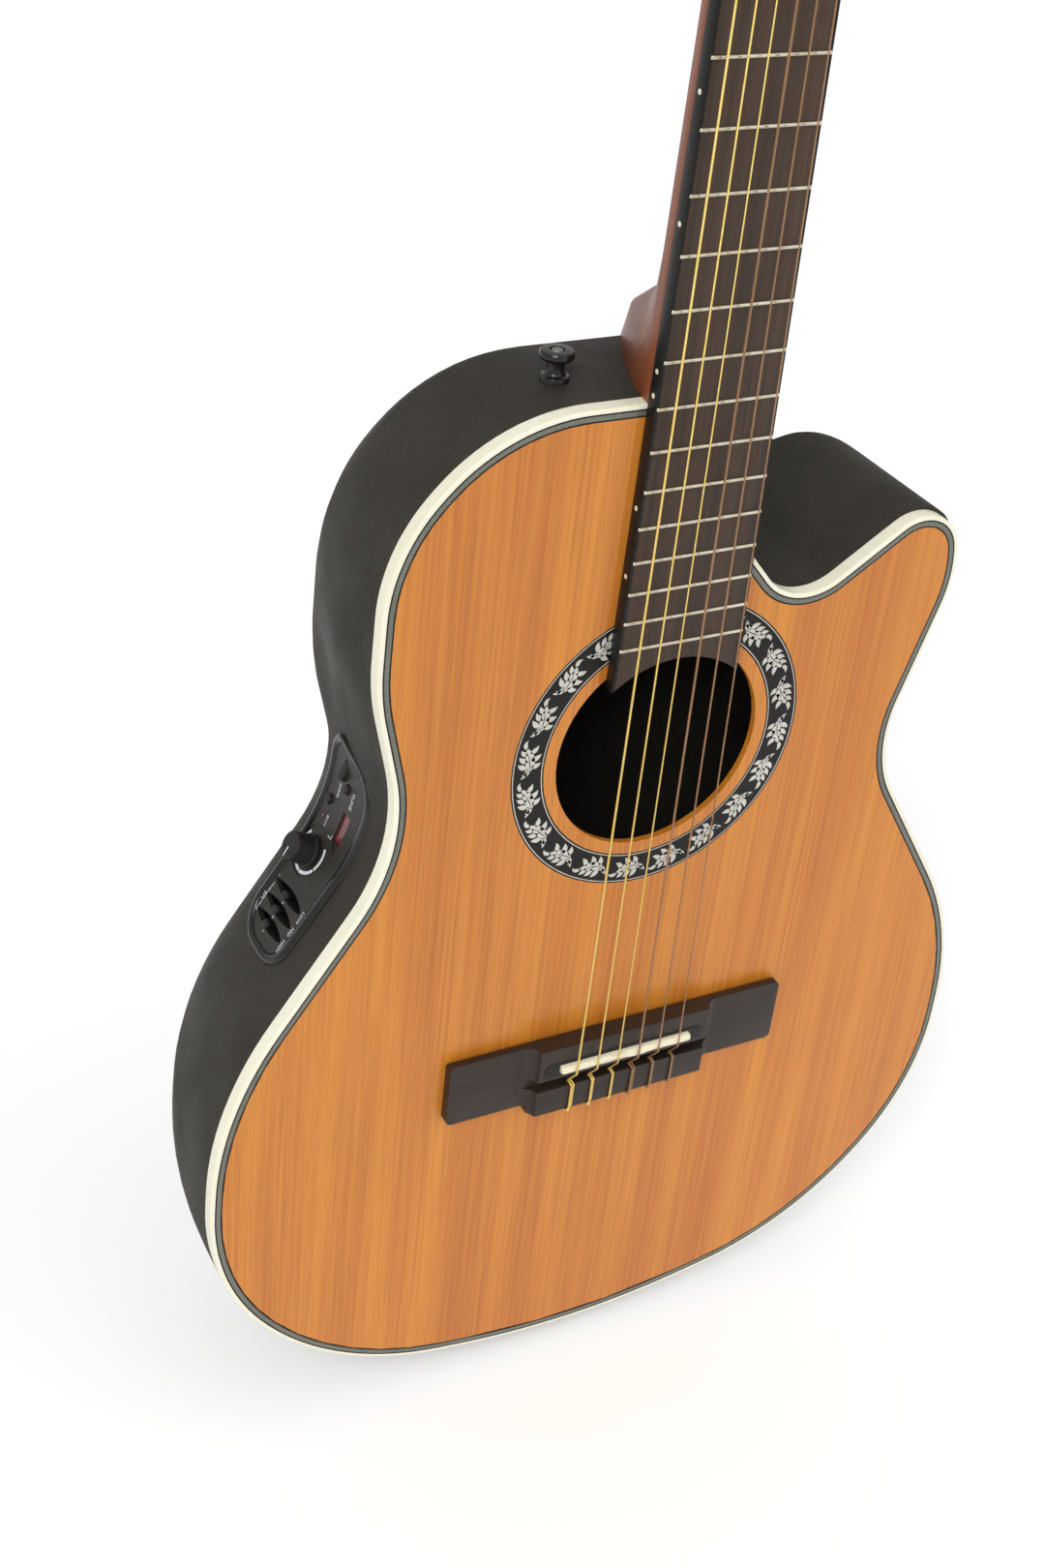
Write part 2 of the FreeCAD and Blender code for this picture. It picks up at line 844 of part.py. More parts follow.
def rounded_path(points, radii):
    """Places and directions along straight runs, with a stepped arc at each point between the ends."""
    first = (points[1] - points[0]).normalize()
    path = [(points[0], first)]
    for index in range(1, len(points) - 1):
        corner = points[index]
        to_before = (points[index - 1] - corner).normalize()
        to_after = (points[index + 1] - corner).normalize()
        half = to_before.getAngle(to_after) / 2
        radius = radii[index - 1]
        centre = corner + (to_before + to_after).normalize() * (radius / math.sin(half))
        spoke = corner + to_before * (radius / math.tan(half)) - centre
        whole = 180 - math.degrees(2 * half)
        steps = math.ceil(whole / string_facet_turn)
        axis = to_after.cross(to_before)
        for step in range(steps + 1):
            turn = FreeCAD.Rotation(axis, whole * step / steps)
            path.append((centre + turn.multVec(spoke), turn.multVec(to_before * -1)))
    last = (points[-1] - points[-2]).normalize()
    return path + [(points[-1], last)]


def tube(path, radius):
    """Tube of a few flat sides along a path."""
    sections = []
    for place, along in path:
        across = (Vector(1, 0, 0) - along * along.x).normalize()
        corners = []
        for number in range(string_sides):
            turn = FreeCAD.Rotation(along, 360 * (number + 1 / 2) / string_sides)
            corners.append(place + turn.multVec(across) * radius)
        sections.append(corners)
    return skin(sections)


def string_points(number):
    """Corners of one string: from its loop over the tie block, over saddle and nut, to its roller."""
    radius = string_radii[number]
    at_saddle = string_x(number, string_spacing_at_saddle)
    at_nut = string_x(number, string_spacing_at_nut)
    side, roller_z, winding_at = roller_place(number)
    behind = string_loop_radius + radius
    loop_y = -bridge_centre_height - radius - winding_gap
    saddle_y = -saddle_top - radius - string_seat_gap
    saddle_back = saddle_z - saddle_thickness / 2 - winding_gap
    reach = roller_radius + winding_gap + 3 * radius
    short = math.sqrt(reach ** 2 - (roller_radius + radius) ** 2)
    head_y = roller_y - roller_radius - radius
    at_head = Vector(side * winding_at, head_y, roller_z - short)
    turn = FreeCAD.Rotation(Vector(1, 0, 0), -head_tilt)
    at_head = turn.multVec(at_head) + Vector(0, 0, head_start)
    points = [
        Vector(at_saddle, loop_y, tie_front_z + winding_gap),
        Vector(at_saddle, loop_y, tie_back_z - behind),
        Vector(at_saddle, -tie_hole_height, tie_back_z - behind),
        Vector(at_saddle, -tie_hole_height, tie_front_z + string_loop_radius / 2),
        Vector(at_saddle, saddle_y, saddle_back),
        Vector(at_nut, -nut_string_floor - radius - string_seat_gap, nut_thickness / 2),
        at_head,
    ]
    return points


def string_path(number):
    loop = string_loop_radius
    return rounded_path(string_points(number), [loop, loop, loop, loop, string_bend_radius])


def make_strings(numbers):
    return Part.Compound([tube(string_path(number), string_radii[number]) for number in numbers])


def groove_box(corner, toward, radius):
    """Room of a string's straight run through the nut, open to the front."""
    run = toward - corner
    box = box_between(-radius, radius, -nut_thickness, radius, 0, nut_thickness)
    box.Placement = FreeCAD.Placement(corner, FreeCAD.Rotation(Vector(0, 0, 1), run))
    return box


def make_nut():
    """Nut with a groove under each string, bent at its middle as the string is."""
    half = board_half_at_nut - nut_end_gap
    top = nut_string_floor + min(string_radii)
    nut = box_between(-half, half, -top, 0, 0, nut_thickness)
    for number, radius in enumerate(string_radii):
        at_saddle, at_nut, at_head = string_points(number)[-3:]
        nut = nut.cut(groove_box(at_nut, at_saddle, radius + string_seat_gap))
        nut = nut.cut(groove_box(at_nut, at_head, radius + string_seat_gap))
    return nut


def bridge_elevation(half, z):
    """Bridge seen from its front: flat wings, hollow shoulders and a raised middle."""
    shoulder = bridge_centre_half + bridge_shoulder_width
    wing = -bridge_wing_height
    top = -bridge_centre_height
    middle = bridge_centre_half + bridge_shoulder_width * shoulder_hollow_share
    points = [Vector(-half, 0, z), Vector(-half, wing, z), Vector(-shoulder, wing, z)]
    edges = []
    for first, second in zip(points, points[1:]):
        edges.append(Part.LineSegment(first, second).toShape())
    hollow_y = wing + (top - wing) * shoulder_hollow_share
    left_end = Vector(-bridge_centre_half, top, z)
    right_end = Vector(bridge_centre_half, top, z)
    edges.append(Part.Arc(points[-1], Vector(-middle, hollow_y, z), left_end).toShape())
    edges.append(Part.LineSegment(left_end, right_end).toShape())
    right_foot = Vector(shoulder, wing, z)
    edges.append(Part.Arc(right_end, Vector(middle, hollow_y, z), right_foot).toShape())
    right = [right_foot, Vector(half, wing, z), Vector(half, 0, z), points[0]]
    for first, second in zip(right, right[1:]):
        edges.append(Part.LineSegment(first, second).toShape())
    return Part.Face(Part.Wire(edges))


def channel_outline(half, width, y):
    """Slot outline with round ends, centred on the saddle."""
    radius = width / 2 - smallest_radius
    corners = [
        (half, saddle_z - width / 2, radius),
        (half, saddle_z + width / 2, radius),
        (-half, saddle_z + width / 2, radius),
        (-half, saddle_z - width / 2, radius),
    ]
    return rounded_wire(corners, y)


def make_bridge():
    whole = bridge_elevation(bridge_half, bridge_bottom_z).extrude(Vector(0, 0, bridge_length))
    tie_half = bridge_centre_half + bridge_shoulder_width * shoulder_hollow_share
    overhang = box_between(
        -tie_half, tie_half, -bridge_centre_height, 0, tie_back_z, bridge_bottom_z
    )
    shoulder_room = bridge_elevation(bridge_half, tie_back_z).extrude(Vector(0, 0, tie_overhang))
    bridge = whole.fuse(overhang.common(shoulder_room))
    valley = box_between(
        -bridge_half,
        bridge_half,
        -bridge_centre_height,
        -bridge_wing_height,
        tie_front_z,
        tie_front_z + bridge_valley_length,
    )
    bridge = bridge.cut(valley)
    channel = slab(channel_outline(channel_half, channel_width, -bridge_centre_height), channel_depth)
    bridge = bridge.cut(channel)
    for number in range(len(string_radii)):
        base = Vector(string_x(number, string_spacing_at_saddle), -tie_hole_height, tie_back_z)
        hole = facet_bar(tie_hole_radius, base, Vector(0, 0, 1), tie_block_length, tie_hole_sides)
        bridge = bridge.cut(hole)
    return bridge.removeSplitter()


def make_pickup_channel():
    """Pickup in its channel, with the slot that the saddle stands in."""
    front = -bridge_centre_height - channel_rim
    body = slab(channel_outline(channel_half, channel_width, front), channel_depth + channel_rim)
    return body.cut(saddle_box(-bridge_centre_height - channel_rim, saddle_fit))


def saddle_box(front, clearance):
    """Room of the saddle's foot, up to a front face."""
    return box_between(
        -saddle_half - clearance,
        saddle_half + clearance,
        front,
        -bridge_centre_height + saddle_seat_depth,
        saddle_z - saddle_thickness / 2 - clearance,
        saddle_z + saddle_thickness / 2 + clearance,
    )


def gear_profile():
    """Outline of the worm gear across its axis, with a tooth towards the worm."""
    pitch_radius = gear_teeth * worm_pitch / (2 * math.pi)
    tip = pitch_radius + thread_throw
    root = pitch_radius - thread_throw
    flat = tooth_tip_share / 2
    corner_shares = ((-flat, tip), (flat, tip), (1 / 2 - flat, root), (1 / 2 + flat, root))
    points = []
    for tooth in range(gear_teeth):
        for share, radius in corner_shares:
            angle = 2 * math.pi * (tooth + share) / gear_teeth
            points.append((radius * math.sin(angle), -radius * math.cos(angle)))
    return points


def gear_start():
    """Distance of the gear's inner face from the headstock's middle."""
    return head_half + plate_thickness + gear_gap


def worm_x():
    return gear_start() + gear_width / 2


def worm_drop():
    """Distance of the worm's axis below the gear's."""
    return gear_teeth * worm_pitch / (2 * math.pi) + worm_mid_radius + mesh_gap


def make_gear(roller_z):
    points = [Vector(gear_start(), roller_y + y, roller_z + z) for y, z in gear_profile()]
    blank = Part.Face(Part.makePolygon(points + points[:1])).extrude(Vector(gear_width, 0, 0))
    base = Vector(gear_start(), roller_y, roller_z)
    return blank.cut(round_bar(roller_shaft_radius + gear_fit, base, Vector(1, 0, 0), gear_width))


def make_roller(number, roller_z):
    """Roller with its shaft and the turns of its string."""
    along = Vector(1, 0, 0)
    start = slot_inner - roller_web_depth + seat_gap
    end = head_half - running_gap
    body = facet_bar(roller_radius, Vector(start, roller_y, roller_z), along, end - start)
    shaft_length = gear_start() + gear_width - end
    shaft = round_bar(roller_shaft_radius, Vector(end, roller_y, roller_z), along, shaft_length)
    side, _, winding_at = roller_place(number)
    turns_base = Vector(winding_at - winding_width / 2, roller_y, roller_z)
    turns_radius = roller_radius + 2 * string_radii[number]
    turns = facet_bar(turns_radius, turns_base, along, winding_width)
    return body.fuse(shaft).fuse(turns)


def worm_section(roller_z, y):
    """Cross-section of the worm's thread: a polygon set off its axis, which goes round with y."""
    turn = 2 * math.pi * (y - roller_y) / worm_pitch
    centre_x = worm_x() - thread_throw * math.sin(turn)
    centre_z = roller_z - worm_drop() - thread_throw * math.cos(turn)
    corners = []
    for number in range(worm_sides):
        angle = 2 * math.pi * number / worm_sides
        x = centre_x + worm_mid_radius * math.sin(angle)
        z = centre_z + worm_mid_radius * math.cos(angle)
        corners.append(Vector(x, y, z))
    return Part.makePolygon(corners + corners[:1])


def make_worm(roller_z):
    """Worm with its shaft, from the front lug to the button."""
    steps = round(2 * worm_half_length / worm_pitch * worm_sides)
    front = roller_y - worm_half_length
    sections = []
    for step in range(steps + 1):
        sections.append(worm_section(roller_z, front + 2 * worm_half_length * step / steps))
    thread = Part.makeLoft(sections, True, True)
    shaft_start = front - lug_inner_gap - lug_thickness
    shaft_end = head_thickness + button_gap
    base = Vector(worm_x(), shaft_start, roller_z - worm_drop())
    shaft = round_bar(worm_journal_radius, base, Vector(0, 1, 0), shaft_end - shaft_start)
    return thread.fuse(shaft)


def make_button(roller_z):
    """Flat oval button on its hub, behind the headstock."""
    half_width = button_width / 2
    corners = [
        (half_width, hub_length, button_corner_radius),
        (half_width, button_length, button_corner_radius),
        (-half_width, button_length, button_corner_radius),
        (-half_width, hub_length, button_corner_radius),
    ]
    oval = slab(rounded_wire(corners, -button_thickness / 2), button_thickness)
    hub = facet_bar(hub_radius, Vector(0, 0, 0), Vector(0, 0, 1), hub_length)
    button = oval.fuse(hub)
    button.rotate(Vector(0, 0, 0), Vector(1, 0, 0), -90)
    button.translate(Vector(worm_x(), head_thickness + button_gap, roller_z - worm_drop()))
    return button


def make_tuner_plate():
    """Side plate with a bearing hole for each roller and two lugs for each worm."""
    heights = roller_heights()
    low = heights[0] - plate_end_length
    high = heights[-1] + plate_end_length
    outer = head_half + plate_thickness
    plate = box_between(
        head_half, outer, roller_y - plate_half_width, roller_y + plate_half_width, low, high
    )
    corners = [edge for edge in plate.Edges if abs(edge.Length - plate_thickness) < running_gap]
    plate = plate.makeChamfer(plate_corner_cut, corners)
    lug_reach = worm_x() + worm_mid_radius + thread_throw + lug_cover
    along = Vector(1, 0, 0)
    for roller_z in heights:
        worm_z = roller_z - worm_drop()
        for side in (-1, 1):
            near = roller_y + side * (worm_half_length + lug_inner_gap)
            far = near + side * lug_thickness
            lug = box_between(
                outer,
                lug_reach,
                min(near, far),
                max(near, far),
                worm_z - lug_half_width,
                worm_z + lug_half_width,
            )
            plate = plate.fuse(lug)
        journal = Vector(worm_x(), roller_y - plate_half_width, worm_z)
        hole = round_bar(worm_journal_radius + running_gap, journal, Vector(0, 1, 0), 2 * plate_half_width)
        bearing_base = Vector(head_half, roller_y, roller_z)
        bearing = round_bar(roller_shaft_radius + running_gap, bearing_base, along, plate_thickness)
        plate = plate.cut(hole).cut(bearing)
    return plate.cut(screw_shanks(0))


def screw_shanks(shift):
    """Shanks of the plate's two screws, through the plate."""
    heights = roller_heights()
    low = heights[0] - plate_end_length + screw_inset
    high = heights[-1] + plate_end_length - screw_inset
    shanks = []
    for z in (low, high):
        base = Vector(head_half + shift, roller_y, z)
        shanks.append(facet_bar(screw_radius, base, Vector(1, 0, 0), plate_thickness))
    return Part.Compound(shanks)


def make_screws():
    """The two screws of one plate."""
    screws = []
    for shank in screw_shanks(0).Solids:
        base = shank.CenterOfMass + Vector(plate_thickness / 2, 0, 0)
        head = facet_bar(screw_head_radius, base, Vector(1, 0, 0), screw_head_height)
        screws.append(shank.fuse(head))
    return Part.Compound(screws)


def mirrored(shape):
    return shape.mirror(Vector(0, 0, 0), Vector(1, 0, 0))


def both_sides(shape):
    """The headstock's piece on the treble side and its mirror image, tilted into place."""
    return Part.Compound([tilted(shape), tilted(mirrored(shape))])


def make_tuner(number):
    """Button, worm, gear and roller of one string."""
    side, roller_z, _ = roller_place(number)
    pieces = {
        "button": make_button(roller_z),
        "worm": make_worm(roller_z),
        "gear": make_gear(roller_z),
        "roller": make_roller(number, roller_z),
    }
    if side < 0:
        pieces = {name: mirrored(piece) for name, piece in pieces.items()}
    return {name: tilted(piece) for name, piece in pieces.items()}


def preamp_placed(shape):
    """Shape from the preamplifier's frame, set into the bowl's shoulder."""
    turn = math.atan(preamp_slope)
    lean = math.radians(preamp_lean)
    outward = Vector(-math.cos(lean) * math.cos(turn), math.sin(lean), math.cos(lean) * math.sin(turn))
    upward = Vector(math.sin(turn), 0, math.cos(turn))
    rotation = FreeCAD.Rotation(upward, outward.cross(upward), outward, "ZXY")
    placed = shape.copy()
    frame = FreeCAD.Placement(Vector(preamp_x, preamp_y, preamp_z), rotation)
    placed.Placement = frame.multiply(placed.Placement)
    return placed


def surface_height(up):
    """Height of the bowl's curve under the preamplifier, at a place up the body."""
    if up < surface_bend:
        return surface_low_rise * (surface_bend - up) / (preamp_half_length + surface_bend)
    run = surface_top - surface_bend
    radius = (run ** 2 + surface_top_rise ** 2) / (2 * surface_top_rise)
    return radius - math.sqrt(radius ** 2 - (up - surface_bend) ** 2)


def preamp_outline(inset):
    """Block with the preamplifier's outline, drawn in by the inset, from its back outwards."""
    corners = []
    for up_share, back_share, radius_share in preamp_corner_shares:
        up = up_share * preamp_half_length
        back = back_share * preamp_half_width
        corners.append((up, back, radius_share * preamp_half_width))
    height = preamp_depth + preamp_half_length
    block = slab(rounded_wire(inset_corners(corners, inset), 0), height)
    block.rotate(Vector(0, 0, 0), Vector(1, 0, 0), -90)
    block.translate(Vector(0, 0, height - preamp_depth))
    return block


def preamp_body(rise, inset):
    """Block with that outline, up to the bowl's curve raised by a height."""
    side = -2 * preamp_half_width
    low_end = -2 * preamp_half_length
    middle = (surface_bend + surface_top) / 2
    start = Vector(low_end, side, surface_height(low_end) + rise)
    bend = Vector(surface_bend, side, rise)
    arc_middle = Vector(middle, side, surface_height(middle) + rise)
    finish = Vector(surface_top, side, surface_height(surface_top) + rise)
    back_end = Vector(surface_top, side, -preamp_depth)
    back_start = Vector(low_end, side, -preamp_depth)
    edges = [
        Part.LineSegment(start, bend).toShape(),
        Part.Arc(bend, arc_middle, finish).toShape(),
        Part.LineSegment(finish, back_end).toShape(),
        Part.LineSegment(back_end, back_start).toShape(),
        Part.LineSegment(back_start, start).toShape(),
    ]
    profile = Part.Face(Part.Wire(edges)).extrude(Vector(0, -2 * side, 0))
    return profile.common(preamp_outline(inset))


def pin(up, back, radius, low, high):
    """Round pin or hole at a place of the panel, between two heights about the bowl's curve."""
    height = surface_height(up)
    return round_bar(radius, Vector(up, back, height + low), Vector(0, 0, 1), high - low)


def oval_pin(growth, low, high):
    """Oval pin or hole of the battery release, between two heights about the bowl's curve."""
    half_length = release_half_length + growth
    half_width = release_half_width + growth
    radius = half_width - smallest_radius
    corners = [
        (half_length, -half_width, radius),
        (half_length, half_width, radius),
        (-half_length, half_width, radius),
        (-half_length, -half_width, radius),
    ]
    shape = slab(rounded_wire(corners, 0), high - low)
    shape.rotate(Vector(0, 0, 0), Vector(1, 0, 0), -90)
    shape.translate(Vector(release_place, release_shift, surface_height(release_place) + high))
    return shape


def window_room(growth):
    """Pocket of the tuner's window, through the panel."""
    return box_between(
        window_place - window_half_length - growth,
        window_place + window_half_length + growth,
        window_shift - window_half_width - growth,
        window_shift + window_half_width + growth,
        -panel_thickness,
        preamp_half_length,
    )


def slider_slot(place):
    height = surface_height(place)
    return box_between(
        place - slot_half_width,
        place + slot_half_width,
        slider_shift - slot_half_length,
        slider_shift + slot_half_length,
        height - slot_depth,
        height + preamp_rise,
    )


def make_slider(place):
    """Slider cap with its stem, at the middle of its slot."""
    top = surface_height(place) + panel_rise + slider_rise
    cap = box_between(
        place - slider_half_width,
        place + slider_half_width,
        slider_shift - slider_half_length,
        slider_shift + slider_half_length,
        surface_height(place) - slot_depth + slider_gap,
        top,
    )
    edges = [edge for edge in cap.Edges if abs(edge.CenterOfMass.z - top) < smallest_radius]
    return preamp_placed(cap.makeChamfer(slider_chamfer, edges))


def control_rooms():
    """Everything cut out of the panel and the housing for the controls."""
    rooms = [slider_slot(place) for place in slider_places]
    knob_room = knob_shaft_radius + running_gap
    knob_low = -knob_shaft_length - knob_gap
    rooms.append(pin(knob_place, knob_shift, knob_room, knob_low, preamp_rise))
    button_low = -2 * push_button_length
    for up, back in button_places:
        rooms.append(pin(up, back, push_button_radius + push_gap, button_low, 2 * preamp_rise))
    rooms.append(oval_pin(push_gap, button_low, 2 * preamp_rise))
    return rooms


def make_preamp():
    """Raised rim, panel and housing, with their rooms for the controls."""
    rim = preamp_body(preamp_rise, 0).cut(preamp_body(-preamp_sink, -preamp_fit))
    rim = rim.cut(preamp_outline(preamp_rim))
    under_panel = preamp_body(panel_rise - panel_thickness, preamp_rim)
    panel = preamp_body(panel_rise, preamp_rim).cut(under_panel)
    housing = under_panel
    for room in control_rooms():
        panel = panel.cut(room)
        housing = housing.cut(room)
    window = panel.common(window_room(0)).common(preamp_body(panel_rise - window_sink, preamp_rim))
    panel = panel.cut(window_room(0))
    return [preamp_placed(shape) for shape in (rim, panel, housing, window)]


def make_controls():
    """Knob and push buttons of the preamplifier."""
    base = surface_height(knob_place) + panel_rise + knob_gap
    place = Vector(knob_place, knob_shift, base)
    outward = Vector(0, 0, 1)
    low = facet_row(knob_radius, place, outward, knob_sides)
    high = facet_row(knob_top_radius, place + outward * knob_height, outward, knob_sides)
    cap = skin([low, high])
    shaft = pin(knob_place, knob_shift, knob_shaft_radius, -knob_shaft_length, panel_rise + knob_gap)
    controls = [cap.fuse(shaft)]
    top = panel_rise + push_button_rise
    for up, back in button_places:
        controls.append(pin(up, back, push_button_radius, -push_button_length, top))
    controls.append(oval_pin(0, -push_button_length, top))
    return [preamp_placed(shape) for shape in controls]


def on_surface(form, start, direction):
    """Point where a line from inside the bowl leaves it."""
    inside = Part.makeLine(start, start + direction * body_length).common(form)
    return max((vertex.Point for vertex in inside.Vertexes), key=lambda point: (point - start).Length)


def strap_button(form, start, direction):
    """Strap button seated on the bowl's surface where the line from the start leaves it."""
    seat = on_surface(form, start, direction)
    foot_length = seat_overrun + strap_foot_height
    foot = facet_bar(strap_foot_radius, seat - direction * seat_overrun, direction, foot_length)
    neck_base = seat + direction * strap_foot_height
    neck = facet_bar(strap_neck_radius, neck_base, direction, strap_neck_height)
    head_base = neck_base + direction * strap_neck_height
    head = facet_bar(strap_head_radius, head_base, direction, strap_head_height)
    return foot.cut(form).fuse(neck).fuse(head)


def make_strap_buttons(form):
    shoulder = strap_button(form, Vector(strap_x, strap_y, upper_brace_z), Vector(0, 0, 1))
    tail = strap_button(form, Vector(0, tail_button_y, lower_brace_z), Vector(0, 0, -1))
    return Part.Compound([shoulder, tail])


def jack_seat(form):
    return on_surface(form, Vector(jack_x, jack_y, lower_brace_z), Vector(0, 0, -1))


def jack_barrel(form, radius):
    """Barrel of the jack, from its plate through the bowl's wall."""
    base = jack_seat(form) - Vector(0, 0, jack_plate_height)
    return facet_bar(radius, base, Vector(0, 0, 1), jack_barrel_length + jack_plate_height)


def make_jack(form):
    """Output jack: plate on the bowl, nut, barrel and bore."""
    seat = jack_seat(form)
    outward = Vector(0, 0, -1)
    plate_length = seat_overrun + jack_plate_height
    plate = facet_bar(jack_plate_radius, seat - outward * seat_overrun, outward, plate_length)
    nut_base = seat + outward * jack_plate_height
    nut = facet_bar(jack_nut_radius, nut_base, outward, jack_nut_height, jack_nut_sides)
    mouth = nut_base + outward * jack_nut_height
    bore = round_bar(jack_bore_radius, mouth, Vector(0, 0, 1), jack_bore_length)
    return plate.cut(form).fuse(nut).fuse(jack_barrel(form, jack_barrel_radius)).cut(bore)


def save(node, shape):
    shape.exportStep("parts/" + node + ".step")


def save_body():
    form = bowl_form(0, bowl_level_shares, bowl_arc_steps)
    bowl = make_bowl(form)
    bowl = bowl.cut(preamp_placed(preamp_outline(-preamp_fit)))
    save("bowl", bowl.cut(jack_barrel(form, jack_barrel_radius + jack_gap)))
    save("soundboard", make_soundboard())
    save("binding", body_ring(0, binding_width, 0, binding_height))
    save("purfling", make_purfling())
    save("rosette", make_rosette())
    save("top_braces", make_braces())
    save("neck_block", make_neck_block())
    save("strap_buttons", make_strap_buttons(form))
    save("jack_socket", make_jack(form))


def save_neck():
    save("neck", make_neck())
    save("headstock_veneer", tilted(head_plate(0, veneer_thickness)))
    save("truss_rod", make_truss_rod())
    board, board_binding = make_fingerboard()
    save("fingerboard", board)
    save("fingerboard_binding", board_binding)
    save("frets", make_frets())
    save("nut", make_nut())


def save_strings_and_bridge():
    save("bass_strings", make_strings(range(side_count)))
    save("treble_strings", make_strings(range(side_count, len(string_radii))))
    save("bridge", make_bridge())
    save("pickup_channel", make_pickup_channel())
    save("saddle", saddle_box(-saddle_top, 0))


def save_preamp():
    rim, panel, housing, window = make_preamp()
    save("preamp_rim", rim)
    save("preamp_panel", panel)
    save("preamp_housing", housing)
    save("tuner_window", window)
    knob, tuner_button, shape_button, battery_release = make_controls()
    save("volume_knob", knob)
    save("tuner_button", tuner_button)
    save("shape_button", shape_button)
    save("battery_release", battery_release)
    for name, place in zip(("low", "middle", "high"), slider_places):
        save("slider_" + name, make_slider(place))


def save_tuners():
    save("tuner_plates", both_sides(make_tuner_plate()))
    save("tuner_screws", both_sides(make_screws()))
    for number in range(len(string_radii)):
        for name, piece in make_tuner(number).items():
            save("tuner_" + name + "_" + str(number + 1), piece)


if __name__ == "__main__":
    os.makedirs("parts", exist_ok=True)
    save_body()
    save_neck()
    save_strings_and_bridge()
    save_preamp()
    save_tuners()
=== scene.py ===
"""Looks of an acoustic-electric classical guitar with a round bowl, a cutaway and a preamplifier."""

import enum
import json
import logging
import math
from dataclasses import dataclass, field
from typing import Callable, Sequence

import bmesh
import bpy
from mathutils import Matrix, Vector

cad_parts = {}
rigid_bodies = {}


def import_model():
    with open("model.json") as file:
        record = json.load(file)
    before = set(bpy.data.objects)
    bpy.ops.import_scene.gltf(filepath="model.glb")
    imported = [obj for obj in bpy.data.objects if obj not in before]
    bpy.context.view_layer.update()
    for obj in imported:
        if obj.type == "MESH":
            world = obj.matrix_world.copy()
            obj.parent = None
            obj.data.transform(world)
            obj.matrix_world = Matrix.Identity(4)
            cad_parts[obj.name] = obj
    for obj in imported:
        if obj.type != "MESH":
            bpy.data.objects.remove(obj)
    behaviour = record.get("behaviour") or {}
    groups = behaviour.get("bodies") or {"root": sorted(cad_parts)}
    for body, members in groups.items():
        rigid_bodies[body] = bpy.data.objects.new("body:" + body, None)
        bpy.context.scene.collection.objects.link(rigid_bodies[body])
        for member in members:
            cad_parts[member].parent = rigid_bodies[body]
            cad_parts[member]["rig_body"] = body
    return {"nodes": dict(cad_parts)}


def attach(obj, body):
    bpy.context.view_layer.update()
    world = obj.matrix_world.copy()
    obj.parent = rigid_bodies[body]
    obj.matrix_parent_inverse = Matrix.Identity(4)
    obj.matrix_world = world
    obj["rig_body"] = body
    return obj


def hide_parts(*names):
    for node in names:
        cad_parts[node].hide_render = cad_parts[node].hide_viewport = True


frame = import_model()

logging.basicConfig(level=logging.INFO, format="%(message)s")
log = logging.getLogger("guitar")

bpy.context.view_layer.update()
MM = 0.001
BODY = "guitar"
WHITE = (1.0, 1.0, 1.0, 1.0)


def srgb(red: int, green: int, blue: int) -> tuple[float, float, float, float]:
    """Linear colour of an 8-bit display colour.

    Args:
        red: Red, 0 to 255.
        green: Green, 0 to 255.
        blue: Blue, 0 to 255.

    Returns:
        Linear red, green, blue and an alpha of 1.
    """
    def linear(value: float) -> float:
        """Linear value of one channel."""
        share = value / 255
        return share / 12.92 if share <= 0.04045 else ((share + 0.055) / 1.055) ** 2.4
    return (linear(red), linear(green), linear(blue), 1.0)


# Shader building


